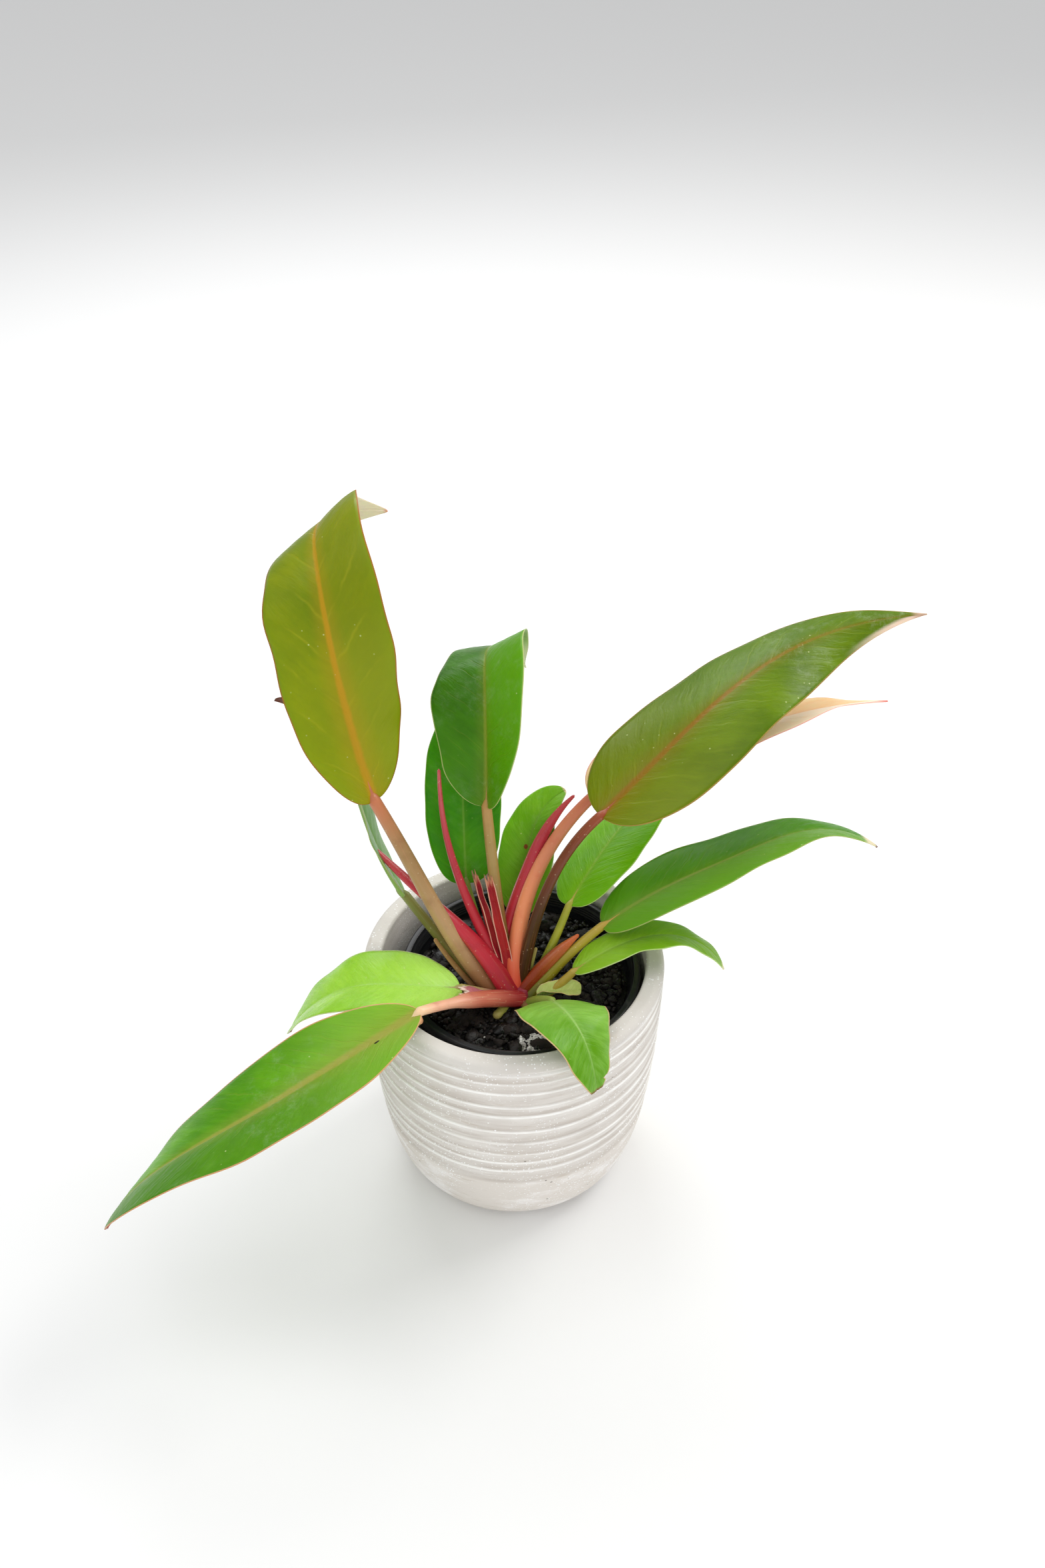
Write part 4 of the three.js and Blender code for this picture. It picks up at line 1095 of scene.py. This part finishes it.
            "heading": [196, 175, 176], "rise": [22, 2, -39, -65],
            "roll": [0, 11], "fold": [15, 15], "cup": [-13, -13], "rib": 0.9, "wave": 0.35,
        },
        "looks": {
            "deep": "#84bc24", "bright": "#a4d840", "root": "#b8e470", "root_share": 0.6, "rib": "#a8d468",
            "rib_share": 0.5, "margin": "#cfdc9c", "margin_width": 0.4, "gloss": 0.2,
            "tips": (("#9a6a3a", 0.97, 0.99),),
        },
        "stalk": ("#a8685a", "#b0786a", "#a89a5a", "#a0a858"),
    },
    "long_front_left": {
        "root": (0, -15, 2),
        "petiole": {
            "length": RIM_INSIDE - 4, "heading": [212, 223], "rise": [31, 20],
            "radius": (4.3, 4.3, 4.1, 3.8, 2.5, 2.3, 2.2), "flatness": 0.82,
        },
        "blade": {
            "length": 161, "width": 48, "shoulder": 0.47, "taper": 1.36,
            "heading": [212, 202, 188], "rise": [-13, -19, -26, -68],
            "roll": [-11, 32], "fold": [19, 1], "cup": [-4, -19], "rib": 2.6, "wave": 0.5,
            "scallop": 0.005,
        },
        "looks": {
            "deep": "#498802", "bright": "#67a902", "root": "#86b52d", "root_share": 0.7, "rib": "#a09a44",
            "rib_share": 0.75, "rib_end": 0.5, "half": (-1, "#437602", 0.6), "margin": "#dc9c78",
            "margin_width": 0.55, "tips": (("#a8503c", 0.965, 0.985),), "chalk_and_sheen": (0.16, 0.1),
            "spot": (0.13, -0.12, 0.035, "#2a1c0e"),
        },
        "stalk": ("#a01c28", "#c46850", "#eab090", "#f0d8a8"),
    },
    "edge_left": {
        "root": (-9, -11, -1),
        "petiole": {"length": 58, "heading": [148, 146], "rise": [37, 42], "radius": (3, 2.1)},
        "blade": {
            "length": 105, "width": 28, "shoulder": 0.42, "taper": 1.1,
            "heading": [146, 132, 166], "rise": [46, 64, 7],
            "roll": [47, 58], "fold": [10, 19], "cup": [-12, -5], "rib": 0.9, "wave": 0.6,
        },
        "looks": {
            "deep": "#5c9240", "bright": "#7cae54", "rib": "#9aa860", "rib_share": 0.5, "margin": "#b8bc84",
            "margin_width": 0.35, "tips": (("#6a3c2c", 0.94, 0.97),),
        },
        "stalk": ("#7a5c34", "#766c30", "#6e6e2c", "#8a984a"),
    },
}


def from_soil(x, y, z):
    """A point whose height is given from the soil's surface."""
    return np.array([x, y, soil_top + z], float)


for order, (name, leaf) in enumerate(leaves.items()):
    start = from_soil(*leaf["root"])
    petiole, blade = leaf["petiole"], leaf["blade"]
    rib_root = 0.8
    if petiole:
        petiole["start"] = start
        petiole["blade"] = blade
        start = line_of(petiole)[-1]
        rib_root = petiole["radius"][1]
    blade["start"] = start + directions(blade, np.array([0.0]))[0][0] * GAP
    mesh = blade_mesh("leaf_" + name, blade, rib_root, 100 + order)
    skin = leaf_skin("leaf_skin_" + name, leaf["looks"])
    show("leaf_" + name, mesh, skin, leaf.get("slot", "leaf_green"), "blade." + name)

# ---- Petioles and rolled leaves --------------------------------------------------------------
# A petiole is a firm round stalk, grooved on its upper side. A rolled leaf is a new blade still
# wound up on itself, so its section is a coil with one free edge running up it. The whole
# sheaths, the cut stub and the dry scrap at the crown are swept along their lines the same way.

sweep_inputs = [
    ("Flatness", "Float"),
    ("Groove", "Float"),
    ("Free Edge", "Float"),
    ("Material", "Material"),
]
sweep = Tree("swept_stalk", sweep_inputs)
asked = sweep.entry
spine_place = sweep.node("GeometryNodeSplineParameter").outputs
spine_length = sweep.node("GeometryNodeSplineLength").outputs["Length"]
spine_girth = sweep.node("GeometryNodeInputRadius").outputs[0]
to_tip = sweep.math("SUBTRACT", spine_length, spine_place["Length"])
end_share = sweep.math("MINIMUM", sweep.math("DIVIDE", to_tip, spine_girth), 1.0)
end_drop = sweep.math("POWER", sweep.math("SUBTRACT", 1.0, end_share), 2.0)
rounding = sweep.math("SQRT", sweep.math("SUBTRACT", 1.0, sweep.times(end_drop, 0.95)))
rounded_girth = sweep.times(spine_girth, rounding)
spine = sweep.node("GeometryNodeSetCurveRadius", {"Curve": asked["Geometry"], "Radius": rounded_girth})
spine_kept = sweep.keep(spine.outputs[0], "along", spine_place["Factor"], "POINT")
section = sweep.node("GeometryNodeCurvePrimitiveCircle", {"Resolution": 32, "Radius": 1.0})
section_turn = sweep.node("GeometryNodeSplineParameter").outputs["Factor"]
section_kept = sweep.keep(section.outputs[0], "turn", section_turn, "POINT")
section_point = sweep.node("GeometryNodeInputPosition").outputs[0]
section_place = sweep.node("ShaderNodeSeparateXYZ", {0: section_point}).outputs
from_top = sweep.times(sweep.math("SUBTRACT", section_turn, 0.25), 9.0)
groove_bell = sweep.math("POWER", 2.718, sweep.times(sweep.math("POWER", from_top, 2.0), -1.0))
groove_pull = sweep.times(groove_bell, asked["Groove"])
edge_pull = sweep.times(section_turn, asked["Free Edge"])
section_size = sweep.math("SUBTRACT", sweep.math("SUBTRACT", 1.0, groove_pull), edge_pull)
section_x = sweep.times(section_place["X"], section_size)
section_y = sweep.times(sweep.times(section_place["Y"], section_size), asked["Flatness"])
section_moved = sweep.node("ShaderNodeCombineXYZ", {"X": section_x, "Y": section_y, "Z": 0.0})
section_shaped = sweep.node(
    "GeometryNodeSetPosition", {"Geometry": section_kept, "Position": section_moved.outputs[0]}
)
swept = sweep.node(
    "GeometryNodeCurveToMesh",
    {
        "Curve": spine_kept,
        "Profile Curve": section_shaped.outputs[0],
        "Scale": sweep.node("GeometryNodeInputRadius").outputs[0],
        "Fill Caps": True,
    },
)
sweep_tree = sweep.finish(swept.outputs[0], asked["Material"])


def stalk_skin(name, colours, gloss, streaks=0.3, wax=0.1):
    """A stalk's skin: its colours from root to tip, with fine lengthwise streaks."""
    stalk = Shader(name)
    run, turn_round = stalk.value("along"), stalk.value("turn")
    stalk.tint = colours[0]
    for order, colour in enumerate(colours[1:]):
        reach = (order / (len(colours) - 1), (order + 1) / (len(colours) - 1))
        stalk.wash(stalk.span(run, *reach), colour)
    around = stalk.times(turn_round, 6.2832)
    lengthwise = stalk.node(
        "ShaderNodeCombineXYZ",
        {
            "X": stalk.times(stalk.math("COSINE", around), 2.2),
            "Y": stalk.times(stalk.math("SINE", around), 2.2),
            "Z": stalk.times(run, 2.0),
        },
    ).outputs[0]
    streak = stalk.noise(lengthwise, 3.0, 4)
    cloudy = stalk.noise(stalk.places(), 120, 3)
    pale_streak = stalk.times(stalk.span(streak, 0.54, 0.78), streaks)
    stalk.wash(pale_streak, colours[-1])
    stalk.wash(stalk.times(pale_streak, 0.25), "#f0d0a8")
    stalk.wash(stalk.times(stalk.span(cloudy, 0.5, 0.75), 0.3), colours[0])
    speck_cells = stalk.cells(stalk.places(), 420)
    specks = stalk.times(stalk.span(speck_cells, 0.08, 0.16, 1, 0), 0.25)
    stalk.wash(specks, "#e8d8b0")
    flesh_values = {
        "Roughness": stalk.span(cloudy, 0.3, 0.7, gloss, gloss + 0.12),
        "Subsurface Weight": 0.12,
        "Subsurface Radius": (1.0, 0.5, 0.25),
        "Subsurface Scale": 0.001,
        "Coat Weight": wax,
        "Coat Roughness": 0.15,
        "Normal": stalk.bump(streak, 0.25, 0.0003),
    }
    return stalk.dress(flesh_values)


ROOT_SINK = 4.0
SPINE_POINTS = 64
NECK_LENGTH = 10.0
NECK_SHARE = 0.09
NECK_POINTS = 14
NECK_END = 0.35
NECK_SINK = 0.75


def spine_object(name, growth):
    """A stalk's middle line. It starts a little below its root, inside the crown's flesh, and a
    petiole runs on into its blade's midrib and thins out there."""
    s = (1 - np.cos(np.linspace(0, np.pi, SPINE_POINTS))) / 2
    s = 0.5 * s + 0.5 * np.linspace(0, 1, SPINE_POINTS)
    points = places_on(line_of(growth), s)
    sunk = points[0] - directions(growth, np.array([0.0]))[0][0] * ROOT_SINK
    points = np.vstack([sunk, points])
    girth = np.append(growth["radius"][0], along(growth["radius"], s))
    if "blade" in growth:
        blade = growth["blade"]
        neck = min(NECK_LENGTH, NECK_SHARE * blade["length"])
        reach = np.linspace(0.1, 1, NECK_POINTS)
        neck_girth = NECK_END + (girth[-1] - NECK_END) * (1 - reach) ** 1.3
        on_blade = reach * neck / blade["length"]
        sink = neck_girth * NECK_SINK * np.minimum(reach * 3, 1)
        lowered = directions(blade, on_blade)[1] * sink[:, None]
        points = np.vstack([points, places_on(line_of(blade), on_blade) - lowered])
        girth = np.append(girth, neck_girth)
    points, girth = points * MM, girth * MM
    curve = bpy.data.curves.new(name, "CURVE")
    curve.dimensions = "3D"
    curve.twist_mode = "Z_UP"
    spline = curve.splines.new("POLY")
    spline.points.add(len(points) - 1)
    spline.points.foreach_set("co", np.hstack([points, np.ones((len(points), 1))]).reshape(-1))
    spline.points.foreach_set("radius", girth)
    return bpy.data.objects.new(name, curve)


def stalk_piece(name, growth, material, slot, groove, free_edge, *nodes):
    settings = {
        "Flatness": growth.get("flatness", 1.0),
        "Groove": groove,
        "Free Edge": free_edge,
        "Material": material,
    }
    mesh = grown(name, spine_object(name + "_spine", growth), sweep_tree, settings)
    return show(name, mesh, material, slot, *nodes)


PETIOLE_GROOVE = 0.14
for name, leaf in leaves.items():
    if leaf["petiole"]:
        skin = stalk_skin("petiole_skin_" + name, leaf["stalk"], 0.3)
        node = "petiole." + name
        stalk_piece("petiole_" + name, leaf["petiole"], skin, "petiole_flesh", PETIOLE_GROOVE, 0.0, node)

crimson_run = ("#9c1424", "#be2a38", "#ba3644", "#c64a50")
coral_run = ("#7c1c0c", "#943a14", "#b05c2c", "#cc6430")
crimson = stalk_skin("rolled_leaf_crimson", crimson_run, 0.16, 0.12, 0.5)
coral = stalk_skin("rolled_leaf_coral", coral_run, 0.24, 0.2, 0.3)
pale = stalk_skin("pale_stalk", ("#8f9f30", "#a8ae48", "#b0b050", "#b4a45c"), 0.35)
dry = stalk_skin("dry_sheath", ("#5c3c1c", "#7a5428", "#94703c", "#a8824c"), 0.5, 0.3)

# Each piece's root, length, heading, rise and radius, then its skin, slot, free edge and flatness.
shoots = {
    "rolled_leaf_tall": [
        (-2, -7, 1), 105, [137, 136, 125, 92], [56, 56, 68, 85], (3.4, 0.7), crimson, "red_sheath", 0.16, 1,
    ],
    "rolled_leaf_right": [
        (-3.5, -4, 1.4), 89, [106, 61, 54, 27], [58, 52, 48, 32], (2.7, 3.3, 3.4, 2.7, 0.7),
        crimson, "red_sheath", 0.16, 1,
    ],
    "rolled_leaf_short": [
        (4, -9, 2), 34, [31, 21], [44, 33], (2.7, 3.2, 2.7, 0.7), coral, "red_sheath", 0.16, 1,
    ],
    "sheath_broad": [
        (-1.5, -12, 2), 86, [141, 157, 156], [54, 39, 40], (5.4, 4.9, 3.9, 2.9, 2.4, 1.3),
        crimson, "red_sheath", 0.1, 0.6,
    ],
    "sheath_dry_left": [(-11, -14, 0), 36, [158, 145], [39, 48], (1.9, 1), dry, "dry_sheath", 0, 0.45],
    "sheath_small_right": [(5, -6, 0), 18, [68, 60], [55, 52], (1.8, 0.7), pale, "petiole_flesh", 0, 0.6],
    "stub_old_leaf": [(-3, -17, 0), 9, [235], [3], (2, 1.9), pale, "petiole_flesh", 0, 1],
    "scrap_dry_front": [(5, -16, 0.5), 9, [-60], [8], (2.8, 1.6), dry, "dry_sheath", 0, 0.6],
}
growth_labels = ("start", "length", "heading", "rise", "radius", "flatness")
for name, (root, length, heading, rise, radius, paint, slot, free_edge, flatness) in shoots.items():
    growth = dict(zip(growth_labels, (from_soil(*root), length, heading, rise, radius, flatness)))
    stalk_piece(name + "_body", growth, paint, slot, 0.0, free_edge, name)

# ---- Torn sheaths ----------------------------------------------------------------------------
# When a new leaf pushes out, its papery red sheath splits. What is left stands as thin curved
# strips with ragged pale ends, and as a flap on the long front petiole.

torn_looks = {
    "deep": "#8e1424", "bright": "#bc3430", "root": "#98142a", "rib": "#d0605a", "rib_share": 0.35,
    "margin": "#e6b49c", "margin_width": 0.35, "tips": (("#c98a6a", 0.86, 0.92), ("#8a6a50", 0.925, 0.94)),
    "under": "#a8282c", "gloss": 0.26, "chalk_and_sheen": (0.0, 0.0), "glow_spread": (1.0, 0.3, 0.2),
}
flap_looks = {
    **torn_looks,
    "deep": "#a0485a", "bright": "#c88484", "root": "#a03a50", "margin": "#f2e2d6", "under": "#b0606c",
    "tips": (("#ead2c4", 0.84, 0.92),),
}
torn_strips = [
    ("sheath_torn_left", (-2, -9, 1), 61, 5.2, [127, 121], [60, 64], [26, 34], 1.6),
    ("sheath_torn_right", (1, -10, 1), 60, 4.6, [116, 119], [63, 64], [-28, -34], 1.3),
]
for order, (name, root, length, width, heading, rise, roll, jagged) in enumerate(torn_strips):
    strip = {
        "start": from_soil(*root) - (0, 0, ROOT_SINK),
        "length": length, "width": width, "shoulder": 0.35, "taper": 0.3, "heading": heading, "rise": rise,
        "roll": roll, "fold": [24, 18], "cup": [42, 34], "wave": 0.25, "rib": 0.4, "cut": 0.94,
        "jagged": jagged, "scallop": 0.05,
    }
    strip_mesh = blade_mesh(name + "_strip", strip, 0.35, 300 + order)
    show(name + "_strip", strip_mesh, leaf_skin(name + "_skin", torn_looks), "red_sheath", name)
front_petiole = leaves["long_front_left"]["petiole"]
FLAP_PLACE = np.array([0.1])
FLAP_LIFT = 2.0
flap_root = places_on(line_of(front_petiole), FLAP_PLACE)[0]
flap_upper = directions(front_petiole, FLAP_PLACE)[1][0]
flap = {
    "start": flap_root + flap_upper * FLAP_LIFT, "length": 24, "width": 8.5, "shoulder": 0.4, "taper": 0.3,
    "heading": [210, 200], "rise": [31, 27], "roll": [-6, -22], "fold": [-30, -8], "cup": [-50, -20],
    "wave": 0.5, "rib": 0.4, "cut": 0.95, "jagged": 1.5, "scallop": 0.06,
}
flap_mesh = blade_mesh("sheath_flap", flap, 0.3, 320)
show("sheath_flap", flap_mesh, leaf_skin("sheath_flap_skin", flap_looks), "red_sheath")
